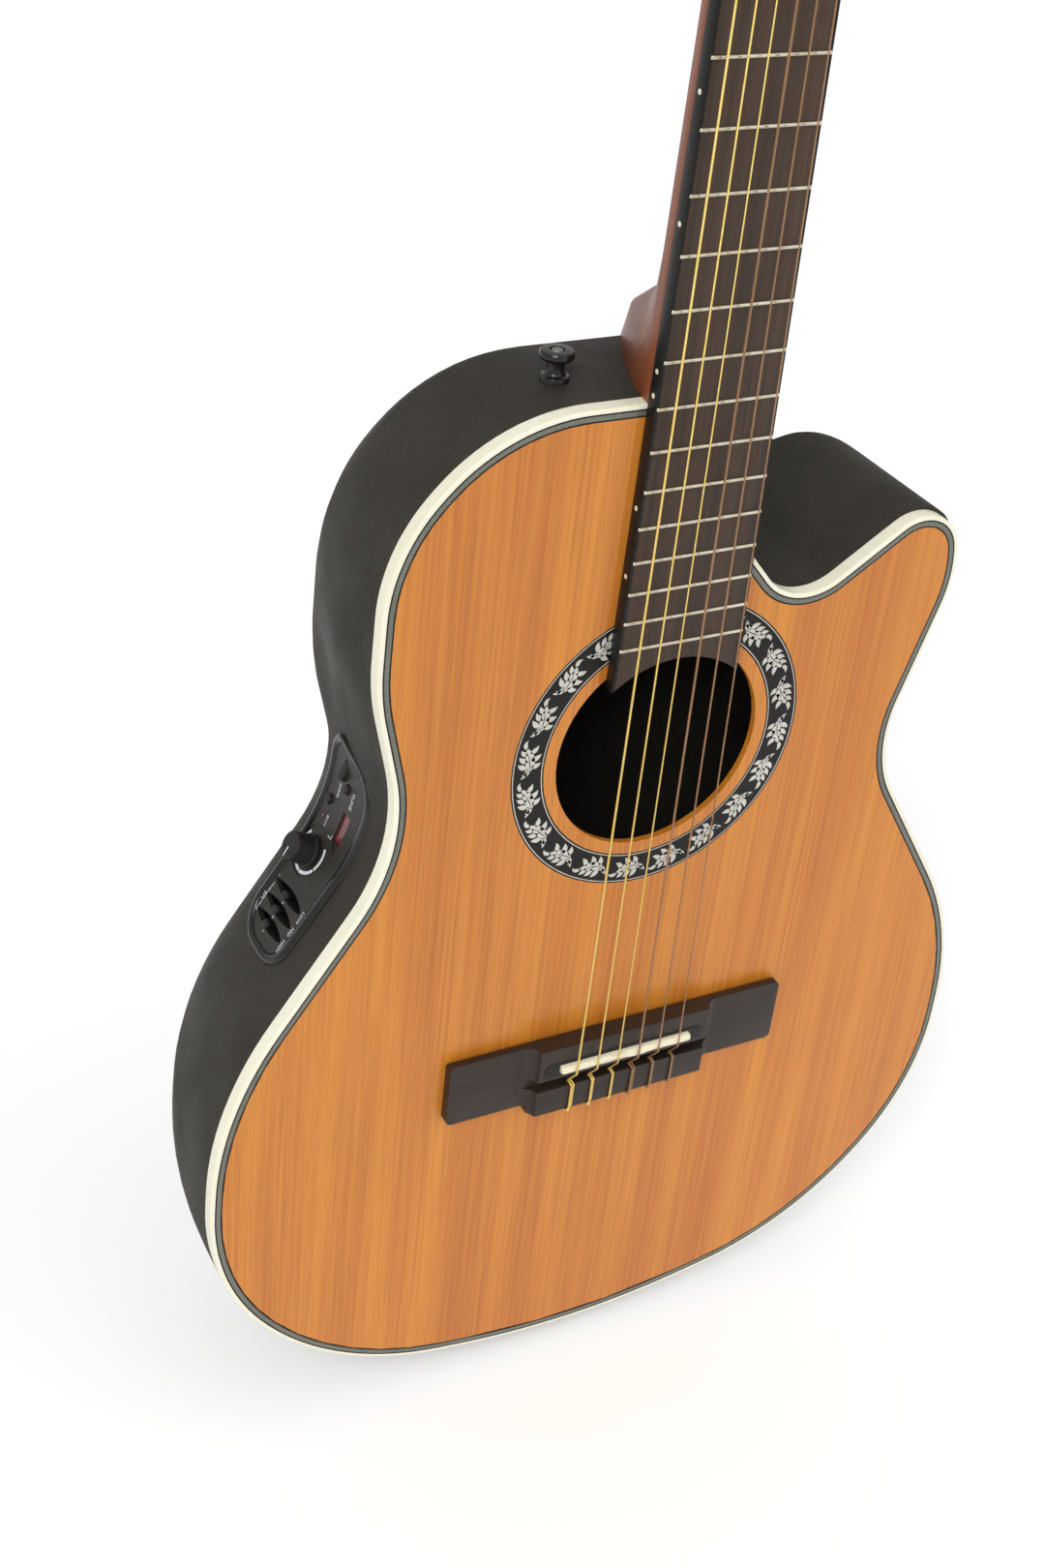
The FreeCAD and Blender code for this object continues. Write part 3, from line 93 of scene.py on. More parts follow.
class Nodes:
    """A node tree with short ways to add and link nodes."""

    def __init__(self, tree: bpy.types.NodeTree) -> None:
        """Starts on a tree, emptied."""
        self.tree = tree
        self.tree.nodes.clear()

    def add(self, kind: str, inputs: dict | None = None, **settings) -> bpy.types.Node:
        """Adds a node.

        Args:
            kind: Type name of the node.
            inputs: Values or output sockets by input name or number.
            settings: Properties of the node.

        Returns:
            The new node.
        """
        node = self.tree.nodes.new(kind)
        for name, value in settings.items():
            setattr(node, name, value)
        return self.feed(node, inputs or {})

    def feed(self, node: bpy.types.Node, inputs: dict) -> bpy.types.Node:
        """Sets a node's inputs to values or output sockets, by name or number, and returns the node."""
        for key, value in inputs.items():
            if isinstance(value, bpy.types.NodeSocket):
                self.tree.links.new(value, node.inputs[key])
            else:
                node.inputs[key].default_value = value
        return node

    def out(self, kind: str, inputs: dict | None = None, **settings) -> bpy.types.NodeSocket:
        """First output of a new node."""
        return self.add(kind, inputs, **settings).outputs[0]

    def math(self, operation: str, *values) -> bpy.types.NodeSocket:
        """Output of a Math node on values or sockets."""
        return self.out("ShaderNodeMath", dict(enumerate(values)), operation=operation)

    def ramp(self, factor: bpy.types.NodeSocket, stops: Sequence[tuple]) -> bpy.types.NodeSocket:
        """Colour of a Color Ramp through (place, colour) stops."""
        node = self.add("ShaderNodeValToRGB", {0: factor})
        elements = node.color_ramp.elements
        while len(elements) < len(stops):
            elements.new(0.5)
        for element, (place, colour) in zip(elements, stops):
            element.position = place
            element.color = colour
        return node.outputs[0]

    def remap(
        self, value: bpy.types.NodeSocket, low: float, high: float, to_low: float, to_high: float,
    ) -> bpy.types.NodeSocket:
        """Clamped value moved from one range to another."""
        return self.out("ShaderNodeMapRange", {0: value, 1: low, 2: high, 3: to_low, 4: to_high})

    def noise(
        self, vector: bpy.types.NodeSocket, scale: float, detail: float = 2.0, roughness: float = 0.5,
    ) -> bpy.types.NodeSocket:
        """Factor of a Noise Texture."""
        inputs = {"Vector": vector, "Scale": scale, "Detail": detail, "Roughness": roughness}
        return self.out("ShaderNodeTexNoise", inputs)

    def vector(self, operation: str, first, **inputs) -> bpy.types.NodeSocket:
        """Output of a Vector Math node on a vector and named inputs."""
        return self.out("ShaderNodeVectorMath", {0: first, **inputs}, operation=operation)

    def scaled(self, vector: bpy.types.NodeSocket, scale: Sequence[float]) -> bpy.types.NodeSocket:
        """Vector times a scale on each axis."""
        return self.out("ShaderNodeVectorMath", {0: vector, 1: tuple(scale)}, operation="MULTIPLY")

    def mix(self, factor, first, second) -> bpy.types.NodeSocket:
        """Colour between two colours."""
        return self.add("ShaderNodeMix", {0: factor, 6: first, 7: second}, data_type="RGBA").outputs[2]


def new_group(name: str, inputs: dict, outputs: dict) -> tuple[Nodes, bpy.types.Node, bpy.types.Node]:
    """Starts a shader node group.

    Args:
        name: Name of the group.
        inputs: Socket kinds and defaults by name.
        outputs: Socket kinds by name.

    Returns:
        The tree's builder, its input node and its output node.
    """
    tree = bpy.data.node_groups.new(name, "ShaderNodeTree")
    for socket, (kind, default) in inputs.items():
        made = tree.interface.new_socket(socket, in_out="INPUT", socket_type=kind)
        if default is not None:
            made.default_value = default
    for socket, kind in outputs.items():
        tree.interface.new_socket(socket, in_out="OUTPUT", socket_type=kind)
    nodes = Nodes(tree)
    return nodes, nodes.add("NodeGroupInput"), nodes.add("NodeGroupOutput")


def grain_group() -> bpy.types.NodeTree:
    """Wood grain that runs along Z of its coordinates: fine lines, broad bands and open pores."""
    nodes, inside, outside = new_group(
        "Wood grain",
        {
            "Coordinates": ("NodeSocketVector", None),
            "Fine": ("NodeSocketFloat", 500.0),
            "Bands": ("NodeSocketFloat", 40.0),
            "Waviness": ("NodeSocketFloat", 0.002),
        },
        {"Lines": "NodeSocketFloat", "Bands": "NodeSocketFloat", "Pores": "NodeSocketFloat"},
    )
    coordinates = inside.outputs[0]
    sway = nodes.math("SUBTRACT", nodes.noise(coordinates, 5.0, 1.0), 0.5)
    shift = nodes.math("MULTIPLY", sway, inside.outputs[3])
    shifts = nodes.out("ShaderNodeCombineXYZ", {0: shift, 1: shift})
    moved = nodes.out("ShaderNodeVectorMath", {0: coordinates, 1: shifts}, operation="ADD")
    fine = nodes.vector("SCALE", nodes.scaled(moved, (1, 1, 0.012)), Scale=inside.outputs[1])
    bands = nodes.vector("SCALE", nodes.scaled(moved, (1, 1, 0.04)), Scale=inside.outputs[2])
    pores = nodes.noise(nodes.scaled(fine, (3.1, 3.1, 4.0)), 1.0, 1.0)
    nodes.feed(outside, {
        0: nodes.noise(fine, 1.0, 3.0, 0.6), 1: nodes.noise(bands, 1.0, 2.0, 0.5),
        2: nodes.remap(pores, 0.60, 0.72, 0.0, 1.0),
    })
    return nodes.tree


def handling_group() -> bpy.types.NodeTree:
    """Faint smudges and dust from use: a soft cloud and a fine speckle."""
    nodes, inside, outside = new_group(
        "Handling",
        {
            "Coordinates": ("NodeSocketVector", None),
            "Cloud size": ("NodeSocketFloat", 25.0),
            "Speckle size": ("NodeSocketFloat", 900.0),
        },
        {"Cloud": "NodeSocketFloat", "Speckle": "NodeSocketFloat"},
    )
    coordinates, cloud_size, speckle_size = inside.outputs[:3]
    cloud, speckle = nodes.noise(coordinates, cloud_size, 4.0), nodes.noise(coordinates, speckle_size)
    nodes.feed(
        outside, {0: nodes.remap(cloud, 0.35, 0.70, 0.0, 1.0), 1: nodes.remap(speckle, 0.40, 0.65, 0.0, 1.0)},
    )
    return nodes.tree


GRAIN = grain_group()
HANDLING = handling_group()


class Along(enum.Enum):
    """Axis that a wood's grain runs along."""

    LENGTH = "z"
    WIDTH = "x"


@dataclass(frozen=True)
class Finish:
    """What every finish has. Colours are 8-bit display colours."""

    name: str

    def start(self) -> tuple[bpy.types.Material, Nodes, bpy.types.Node, bpy.types.NodeSocket]:
        """New material with its shader.

        Returns:
            The material, its builder, its Principled BSDF and Object coordinates.
        """
        material = bpy.data.materials.new(self.name)
        material.use_nodes = True
        nodes = Nodes(material.node_tree)
        shader = nodes.add("ShaderNodeBsdfPrincipled")
        nodes.add("ShaderNodeOutputMaterial", {0: shader.outputs[0]})
        return material, nodes, shader, nodes.add("ShaderNodeTexCoord").outputs["Object"]

    def bump(
        self, nodes: Nodes, height: bpy.types.NodeSocket, distance: float, strength: float = 1.0,
    ) -> bpy.types.NodeSocket:
        """Normal of a bump from a height."""
        return nodes.out("ShaderNodeBump", {"Height": height, "Distance": distance, "Strength": strength})


@dataclass(frozen=True)
class Wood(Finish):
    """Lacquered or oiled wood."""

    light: tuple = (217, 140, 44)
    dark: tuple = (180, 98, 26)
    pore: tuple = (136, 78, 32)
    fine: float = 520.0
    bands: float = 36.0
    pore_share: float = 0.25
    roughness: float = 0.35
    coat: float = 0.0
    depth: float = 0.00005
    along: Along = Along.LENGTH
    matched_halves: bool = False

    def make(self) -> bpy.types.Material:
        """The finished material."""
        material, nodes, shader, coordinates = self.start()
        split = nodes.add("ShaderNodeSeparateXYZ", {0: coordinates}).outputs
        across, run = (split[0], split[2]) if self.along is Along.LENGTH else (split[2], split[0])
        if self.matched_halves:
            across = nodes.math("ABSOLUTE", across)
        ordered = nodes.out("ShaderNodeCombineXYZ", {0: across, 1: split[1], 2: run})
        sizes = {0: ordered, 1: self.fine, 2: self.bands}
        lines, bands, pores = nodes.add("ShaderNodeGroup", sizes, node_tree=GRAIN).outputs[:3]
        mask = nodes.math(
            "ADD", nodes.remap(lines, 0.32, 0.68, 0.0, 0.48), nodes.remap(bands, 0.34, 0.66, 0.0, 0.52),
        )
        colour = nodes.ramp(mask, [(0.05, srgb(*self.dark)), (0.95, srgb(*self.light))])
        cloud = nodes.out("ShaderNodeGroup", {0: coordinates}, node_tree=HANDLING)
        height = nodes.math("SUBTRACT", lines, nodes.math("MULTIPLY", pores, 0.6))
        nodes.feed(shader, {
            "Base Color": nodes.mix(nodes.math("MULTIPLY", pores, self.pore_share), colour, srgb(*self.pore)),
            "Roughness": nodes.remap(cloud, 0.0, 1.0, self.roughness * 0.85, self.roughness * 1.2),
            "Coat Weight": self.coat, "Coat Roughness": 0.12, "Normal": self.bump(nodes, height, self.depth),
        })
        return material


@dataclass(frozen=True)
class Moulded(Finish):
    """Plastic, composite, bone or lacquer of one colour with a fine surface."""

    colour: tuple = (30, 29, 27)
    shade: tuple = (22, 21, 20)
    speckle: tuple = (60, 58, 54)
    speckle_share: float = 0.15
    speckle_size: float = 1400.0
    roughness: float = 0.4
    specular: float = 0.5
    clear: float = 0.0
    coat: float = 0.0
    depth: float = 0.00003
    stretch: tuple = (1.0, 1.0, 1.0)

    def make(self) -> bpy.types.Material:
        """The finished material."""
        material, nodes, shader, coordinates = self.start()
        sizes = {0: nodes.scaled(coordinates, self.stretch), 2: self.speckle_size}
        cloud, speckle = nodes.add("ShaderNodeGroup", sizes, node_tree=HANDLING).outputs[:2]
        colour = nodes.mix(cloud, srgb(*self.colour), srgb(*self.shade))
        share = nodes.math("MULTIPLY", speckle, self.speckle_share)
        nodes.feed(shader, {
            "Base Color": nodes.mix(share, colour, srgb(*self.speckle)),
            "Roughness": nodes.remap(cloud, 0.0, 1.0, self.roughness * 0.85, self.roughness * 1.2),
            "Specular IOR Level": self.specular, "Transmission Weight": self.clear, "Coat Weight": self.coat,
            "Coat Roughness": 0.08, "Normal": self.bump(nodes, speckle, self.depth),
        })
        return material


@dataclass(frozen=True)
class Metal(Finish):
    """Polished or brushed metal with light tarnish."""

    colour: tuple = (200, 195, 185)
    tarnish: tuple = (150, 140, 120)
    tarnish_share: float = 0.3
    roughness: float = 0.25
    cloud_size: float = 120.0
    speckle_size: float = 2500.0
    depth: float = 0.00001

    def make(self) -> bpy.types.Material:
        """The finished material."""
        material, nodes, shader, coordinates = self.start()
        sizes = {0: coordinates, 1: self.cloud_size, 2: self.speckle_size}
        cloud, speckle = nodes.add("ShaderNodeGroup", sizes, node_tree=HANDLING).outputs[:2]
        share = nodes.math("MULTIPLY", cloud, self.tarnish_share)
        nodes.feed(shader, {
            "Base Color": nodes.mix(share, srgb(*self.colour), srgb(*self.tarnish)), "Metallic": 1.0,
            "Roughness": nodes.remap(speckle, 0.0, 1.0, self.roughness * 0.8, self.roughness * 1.3),
            "Normal": self.bump(nodes, speckle, self.depth),
        })
        return material


@dataclass(frozen=True)
class Winding(Finish):
    """Metal wire wound round a string, ring by ring along the piece's own length coordinate, with painted
    shade in the grooves between turns.
    """

    colour: tuple = (255, 226, 132)
    # Painted shade: darker colour for the recesses between the wire's turns.
    groove_shade: tuple = (176, 128, 52)
    pitch: float = 0.00022
    depth: float = 0.00004

    def make(self) -> bpy.types.Material:
        """The finished material."""
        material, nodes, shader, _ = self.start()
        along = nodes.add("ShaderNodeSeparateXYZ", {0: nodes.add("ShaderNodeUVMap").outputs[0]}).outputs[1]
        ring = nodes.math("SINE", nodes.math("MULTIPLY", along, 2 * math.pi / self.pitch))
        # Painted shade: the recesses between the wire's turns are darkened towards the deeper colour.
        colour = nodes.mix(nodes.remap(ring, -1.0, 0.0, 0.5, 0.0), srgb(*self.colour), srgb(*self.groove_shade))
        nodes.feed(shader, {
            "Base Color": colour, "Metallic": 0.75, "Roughness": 0.32, "Normal": self.bump(
                nodes, ring, self.depth, 0.6,
            ),
        })
        return material


@dataclass(frozen=True)
class Paper(Finish):
    """Pale floor paper, lifted to white where the camera sees it so that only shadows are left."""

    colour: tuple = (250, 250, 250)
    lift: float = 0.17

    def make(self) -> bpy.types.Material:
        """The finished material."""
        material, nodes, shader, coordinates = self.start()
        fibres = nodes.math("MULTIPLY", nodes.noise(coordinates, 60.0, 3.0), 0.02)
        seen = nodes.add("ShaderNodeLightPath").outputs["Is Camera Ray"]
        nodes.feed(shader, {
            "Base Color": nodes.mix(fibres, srgb(*self.colour), WHITE),
            "Roughness": 0.9, "Specular IOR Level": 0.1,
            "Emission Color": WHITE, "Emission Strength": nodes.math("MULTIPLY", seen, self.lift),
        })
        return material


class Palette:
    """All finishes of the guitar, made once."""

    def __init__(self) -> None:
        """Makes every material, each under a short name of its own."""
        finishes = dict(
            cedar=Wood("cedar_lacquer", matched_halves=True, coat=0.22, roughness=0.36),
            spruce=Wood("raw_spruce", light=(222, 190, 140), dark=(196, 160, 108), roughness=0.7),
            mahogany=Wood(
                "neck_mahogany", light=(146, 78, 42), dark=(104, 50, 26), pore=(56, 26, 14),
                fine=380.0, bands=30.0, pore_share=0.6, roughness=0.42, depth=0.00004,
            ),
            fingerboard=Wood(
                "fingerboard_rosewood", light=(76, 53, 34), dark=(43, 29, 19), pore=(26, 18, 13),
                fine=420.0, bands=60.0, pore_share=0.7, roughness=0.5,
            ),
            rosewood=Wood(
                "bridge_rosewood", light=(46, 33, 24), dark=(26, 18, 13), pore=(22, 15, 11),
                fine=420.0, bands=60.0, pore_share=0.7, roughness=0.45, along=Along.WIDTH,
            ),
            veneer=Wood(
                "headstock_veneer", light=(72, 54, 42), dark=(42, 31, 24), pore=(22, 15, 11),
                fine=420.0, bands=60.0, pore_share=0.7, roughness=0.35, coat=0.2,
            ),
            composite=Moulded(
                "bowl_composite", colour=(50, 47, 41), shade=(46, 43, 38), speckle=(78, 73, 62),
                speckle_share=0.35, speckle_size=1100.0, roughness=0.62, specular=0.2, depth=0.00006,
            ),
            ivory=Moulded(
                "ivory_binding", colour=(243, 240, 220), shade=(236, 231, 206), speckle=(225, 218, 188),
                speckle_share=0.25, speckle_size=400.0, roughness=0.28, coat=0.3, stretch=(1, 1, 0.1),
            ),
            black_line=Moulded(
                "black_veneer", colour=(24, 22, 20), shade=(18, 17, 16), roughness=0.35, specular=0.2,
                coat=0.05,
            ),
            pewter=Moulded(
                "pewter_line", colour=(104, 106, 96), shade=(88, 90, 80), speckle=(136, 138, 126),
                speckle_share=0.4, speckle_size=900.0, roughness=0.35, coat=0.3,
            ),
            silver_inlay=Moulded(
                "silver_inlay", colour=(200, 198, 188), shade=(176, 172, 160), speckle=(228, 226, 218),
                speckle_share=0.4, roughness=0.3, coat=0.4,
            ),
            bone=Moulded(
                "bone", colour=(240, 234, 208), shade=(230, 221, 190), speckle=(214, 202, 168),
                speckle_share=0.3, speckle_size=700.0, roughness=0.3, coat=0.2, stretch=(0.2, 1, 1),
            ),
            pearl=Moulded(
                "pearl_button", colour=(236, 230, 214), shade=(206, 200, 190), speckle=(250, 246, 236),
                speckle_share=0.6, speckle_size=260.0, roughness=0.2, coat=0.6,
            ),
            roller=Moulded("white_roller", colour=(232, 228, 214), shade=(222, 218, 202), roughness=0.3),
            black_satin=Moulded(
                "black_satin_plastic", colour=(34, 33, 30), shade=(28, 27, 25), roughness=0.45, specular=0.3,
                speckle_size=2600.0,
            ),
            black_gloss=Moulded(
                "black_gloss_plastic", colour=(26, 25, 23), shade=(22, 21, 20), roughness=0.2, specular=0.35,
                coat=0.25, speckle_share=0.05,
            ),
            panel=Moulded(
                "panel_plastic", colour=(54, 51, 45), shade=(46, 44, 39), roughness=0.42, specular=0.25,
                speckle_size=2600.0,
            ),
            white_print=Moulded("white_print", colour=(226, 232, 236), shade=(214, 220, 226), roughness=0.5),
            red_window=Moulded(
                "red_window", colour=(120, 34, 38), shade=(96, 24, 28), roughness=0.15, coat=0.5,
            ),
            fret=Metal(
                "fret_wire", colour=(222, 215, 196), tarnish=(168, 156, 128), tarnish_share=0.5,
                roughness=0.14,
            ),
            brass=Metal("tuner_brass", colour=(228, 190, 112), tarnish=(160, 118, 58), roughness=0.26),
            chrome=Metal("jack_chrome", colour=(216, 216, 218), tarnish=(170, 170, 172), roughness=0.16),
            steel=Metal("rod_steel", colour=(150, 150, 150), roughness=0.4),
            wound=Winding("wound_bass_string"),
            nylon=Moulded(
                "clear_nylon", colour=(196, 152, 108), shade=(180, 136, 92), speckle=(210, 170, 126),
                roughness=0.25, clear=0.55,
            ),
        )
        for name, finish in finishes.items():
            setattr(self, name, finish.make())


# Mesh building, in millimetres of the guitar's frame

Point = tuple[float, float, float]
Place = tuple[float, float]


def full_turn(count: int) -> list[float]:
    """Angles that divide a full turn."""
    return [2 * math.pi * k / count for k in range(count)]


def linked(name: str, data: bpy.types.ID) -> bpy.types.Object:
    """New object of the scene with some data."""
    obj = bpy.data.objects.new(name, data)
    bpy.context.scene.collection.objects.link(obj)
    return obj


def evaluated(obj: bpy.types.Object) -> bpy.types.Mesh:
    """New mesh of an object with its modifiers applied."""
    return bpy.data.meshes.new_from_object(obj.evaluated_get(bpy.context.evaluated_depsgraph_get()))


@dataclass
class Shape:
    """Vertices in millimetres, faces, the material slot of each face and optional UV of each vertex."""

    points: list = field(default_factory=list)
    faces: list = field(default_factory=list)
    slots: list = field(default_factory=list)
    uvs: list = field(default_factory=list)

    def add(self, points: Sequence, faces: Sequence, slot: int = 0, uvs: Sequence | None = None) -> "Shape":
        """Adds a closed surface.

        Args:
            points: Its vertices.
            faces: Its faces by vertex number.
            slot: Material slot of all its faces.
            uvs: UV of each vertex.

        Returns:
            This shape.
        """
        first = len(self.points)
        self.points += [tuple(point) for point in points]
        self.faces += [tuple(first + number for number in face) for face in faces]
        self.slots += [slot] * len(faces)
        self.uvs += list(uvs) if uvs else [(0.0, 0.0)] * len(points)
        return self

    def join(self, other: "Shape", slot: int | None = None) -> "Shape":
        """Adds another shape, with its own slots or one slot for all."""
        first = len(self.points)
        self.points += other.points
        self.faces += [tuple(first + number for number in face) for face in other.faces]
        self.slots += other.slots if slot is None else [slot] * len(other.faces)
        self.uvs += other.uvs
        return self

    def moved(self, matrix: Matrix) -> "Shape":
        """Copy of the shape, moved by a matrix."""
        points = [tuple(matrix @ Vector(p)) for p in self.points]
        return Shape(points, list(self.faces), list(self.slots), list(self.uvs))

    def mesh(self, name: str, scale: float = MM) -> bpy.types.Mesh:
        """New mesh of the shape, in metres unless it has another scale."""
        mesh = bpy.data.meshes.new(name)
        mesh.from_pydata([tuple(c * scale for c in p) for p in self.points], [], self.faces)
        return mesh


def piece(
    name: str, shape: Shape, materials: Sequence, body: str = BODY, replaces: Sequence[str] = (),
    angle: float = 40.0,
) -> bpy.types.Object:
    """Makes an object of a shape, which rides on a body.

    Args:
        name: Name of the object.
        shape: What it looks like.
        materials: Its material slots.
        body: Body that it moves with.
        replaces: CAD nodes that it stands for.
        angle: Edges sharper than this angle in degrees stay sharp.

    Returns:
        The new object.
    """
    mesh = shape.mesh(name)
    for material in materials:
        mesh.materials.append(material)
    mesh.polygons.foreach_set("material_index", shape.slots)
    layer = mesh.uv_layers.new(name="UVMap")
    for loop in mesh.loops:
        layer.data[loop.index].uv = shape.uvs[loop.vertex_index]
    tidy_mesh(mesh, angle)
    obj = linked(name, mesh)
    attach(obj, body)
    for node in replaces:
        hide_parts(node)
    log.info("%s: %d faces", name, len(mesh.polygons))
    return obj


def tidy_mesh(mesh: bpy.types.Mesh, angle: float) -> None:
    """Turns a mesh's faces outward and smooths it up to an angle in degrees."""
    made = bmesh.new()
    made.from_mesh(mesh)
    bmesh.ops.recalc_face_normals(made, faces=made.faces)
    limit = math.radians(angle)
    for face in made.faces:
        face.smooth = True
    for edge in made.edges:
        edge.smooth = edge.calc_face_angle(math.pi) < limit
    made.to_mesh(mesh)
    made.free()


def refined(
    node: str, materials: Sequence, width: float = 0.3, segments: int = 2, angle: float = 35.0,
    bevel_angle: float = 50.0, corner: float = 0.0,
) -> None:
    """Copy of a CAD node with merged faces and softly rounded edges, in the node's place.

    Args:
        node: The CAD node.
        materials: Material slots of the copy.
        width: Width of the rounded edges in millimetres, or 0 for none.
        segments: Faces across a rounded edge.
        angle: Edges sharper than this angle in degrees stay sharp.
        bevel_angle: Edges sharper than this angle in degrees are rounded.
        corner: Radius of the upright corners at both ends, or 0 for none.
    """
    source = frame["nodes"][node]
    mesh = source.data.copy()
    made = bmesh.new()
    made.from_mesh(mesh)
    bmesh.ops.remove_doubles(made, verts=made.verts, dist=2e-6)
    bmesh.ops.dissolve_limit(made, angle_limit=math.radians(1.0), verts=made.verts, edges=made.edges)
    if corner:
        half = max(v.co.x for v in made.verts) - 1e-5
        ends = [
            e for e in made.edges
            if min(abs(v.co.x) for v in e.verts) > half and abs(e.verts[0].co.z - e.verts[1].co.z) < 1e-5
        ]
        bmesh.ops.bevel(made, geom=ends, offset=corner * MM, segments=6, affect="EDGES", profile=0.5)
    if width:
        sharp = [
            e for e in made.edges
            if len(e.link_faces) == 2 and e.calc_face_angle(0) > math.radians(bevel_angle)
        ]
        bmesh.ops.bevel(
            made, geom=sharp, offset=width * MM, segments=segments, affect="EDGES", profile=0.5,
            clamp_overlap=True,
        )
    made.to_mesh(mesh)
    made.free()
    tidy_mesh(mesh, angle)
    mesh.materials.clear()
    for material in materials:
        mesh.materials.append(material)
    obj = linked(node + "_finished", mesh)
    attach(obj, source["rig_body"])
    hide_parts(node)


def rings(rows: Sequence[Sequence[Point]], closed: bool = False, capped: bool = True) -> Shape:
    """Surface through rows of as many points each, round every row.

    Args:
        rows: Closed rows of points.
        closed: Whether the last row joins the first.
        capped: Whether the first and last rows are filled.

    Returns:
        The surface, with U round the rows and V from row to row.
    """
    count = len(rows[0])
    points = [point for row in rows for point in row]
    uvs = [(i / count, r / max(1, len(rows) - 1)) for r in range(len(rows)) for i in range(count)]
    faces = []
    for r in range(len(rows) if closed else len(rows) - 1):
        low, high = r * count, (r + 1) % len(rows) * count
        faces += [(low + i, low + (i + 1) % count, high + (i + 1) % count, high + i) for i in range(count)]
    if capped and not closed:
        faces += [tuple(range(count)), tuple(range(len(points) - count, len(points)))]
    return Shape().add(points, faces, uvs=uvs)


def prism(outline: Sequence[Place], low: float, high: float) -> Shape:
    """Block of an outline in x and z, from one y to another."""
    return rings([[(x, low, z) for x, z in outline], [(x, high, z) for x, z in outline]])


def lathe(profile: Sequence[Place], sides: int = 48) -> Shape:
    """Round form about the Z axis through (radius, height) points, closed at both ends."""
    return rings([[(r * math.cos(a), r * math.sin(a), z) for a in full_turn(sides)] for r, z in profile])


def tube(
    path: Sequence[Point], radius: float | Callable[[int], float], sides: int = 12, closed: bool = False,
) -> Shape:
    """Round tube along a path, with V as the length along it in metres."""
    places = [Vector(p) for p in path]
    count = len(places)
    along = (places[1] - places[0]).normalized()
    across = along.orthogonal().normalized()
    rows, lengths, length = [], [], 0.0
    for i, place in enumerate(places):
        before = places[i - 1] if i or closed else place
        after = places[(i + 1) % count] if i + 1 < count or closed else place
        direction = (after - before).normalized()
        across = (across - direction * across.dot(direction)).normalized()
        other = direction.cross(across)
        size = radius(i) if callable(radius) else radius
        rows.append([place + (across * math.cos(a) + other * math.sin(a)) * size for a in full_turn(sides)])
        length += (place - places[i - 1]).length if i else 0.0
        lengths.append(length)
    shape = rings(rows, closed)
    shape.uvs = [(s / sides, lengths[i] * MM) for i in range(count) for s in range(sides)]
    return shape


def rounded_path(points: Sequence, radii: Sequence[float], step: float = 15.0) -> list[Vector]:
    """Path with an arc at each corner between its ends.

    Args:
        points: Ends and corners.
        radii: Radius at each corner.
        step: Degrees of arc between points.

    Returns:
        The points of the path.
    """
    places = [Vector(p) for p in points]
    path = [places[0]]
    for i in range(1, len(places) - 1):
        to_before = (places[i - 1] - places[i]).normalized()
        to_after = (places[i + 1] - places[i]).normalized()
        half = to_before.angle(to_after) / 2
        tangent = radii[i - 1] / math.tan(half)
        centre = places[i] + (to_before + to_after).normalized() * radii[i - 1] / math.sin(half)
        start = places[i] + to_before * tangent - centre
        turn = math.pi - 2 * half
        axis = to_after.cross(to_before).normalized()
        count = max(2, math.ceil(math.degrees(turn) / step))
        path += [centre + Matrix.Rotation(turn * k / count, 3, axis) @ start for k in range(count + 1)]
    return path + [places[-1]]


def spaced(path: Sequence[Vector], longest: float) -> list[Vector]:
    """The path with more points where two lie further apart than a length."""
    out = [path[0]]
    for before, after in zip(path, path[1:]):
        count = max(1, math.ceil((after - before).length / longest))
        out += [before.lerp(after, k / count) for k in range(1, count + 1)]
    return out


def rounded_outline(corners: Sequence[Point], steps: int = 8) -> list[Place]:
    """Points of a closed outline through rounded corners (x, z, radius)."""
    out = []
    count = len(corners)
    for i, (x, z, radius) in enumerate(corners):
        corner = Vector((x, z))
        to_before = (Vector(corners[i - 1][:2]) - corner).normalized()
        to_after = (Vector(corners[(i + 1) % count][:2]) - corner).normalized()
        half = to_before.angle(to_after) / 2
        centre = corner + (to_before + to_after).normalized() * radius / math.sin(half)
        start = corner + to_before * radius / math.tan(half) - centre
        end = corner + to_after * radius / math.tan(half) - centre
        turn = math.atan2(start.cross(end), start.dot(end))
        for k in range(steps + 1):
            out.append(tuple(centre + Matrix.Rotation(turn * k / steps, 2) @ start))
    return out


def inset(corners: Sequence[Point], depth: float) -> list[Point]:
    """Rounded corners (x, z, radius) of the parallel outline that lies further in."""
    out = []
    count = len(corners)
    for i, (x, z, radius) in enumerate(corners):
        corner = Vector((x, z))
        come = (corner - Vector(corners[i - 1][:2])).normalized()
        leave = (Vector(corners[(i + 1) % count][:2]) - corner).normalized()
        side = Vector((-come.y, come.x))
        middle = (side + Vector((-leave.y, leave.x))).normalized()
        place = corner + middle * depth / middle.dot(side)
        out.append((place.x, place.y, max(0.6, radius - depth if come.cross(leave) > 0 else radius + depth)))
    return out


def paint(obj: bpy.types.Object, *materials: bpy.types.Material) -> None:
    """Gives an object its material slots."""
    obj.data.materials.clear()
    for material in materials:
        obj.data.materials.append(material)


# Sub-assemblies


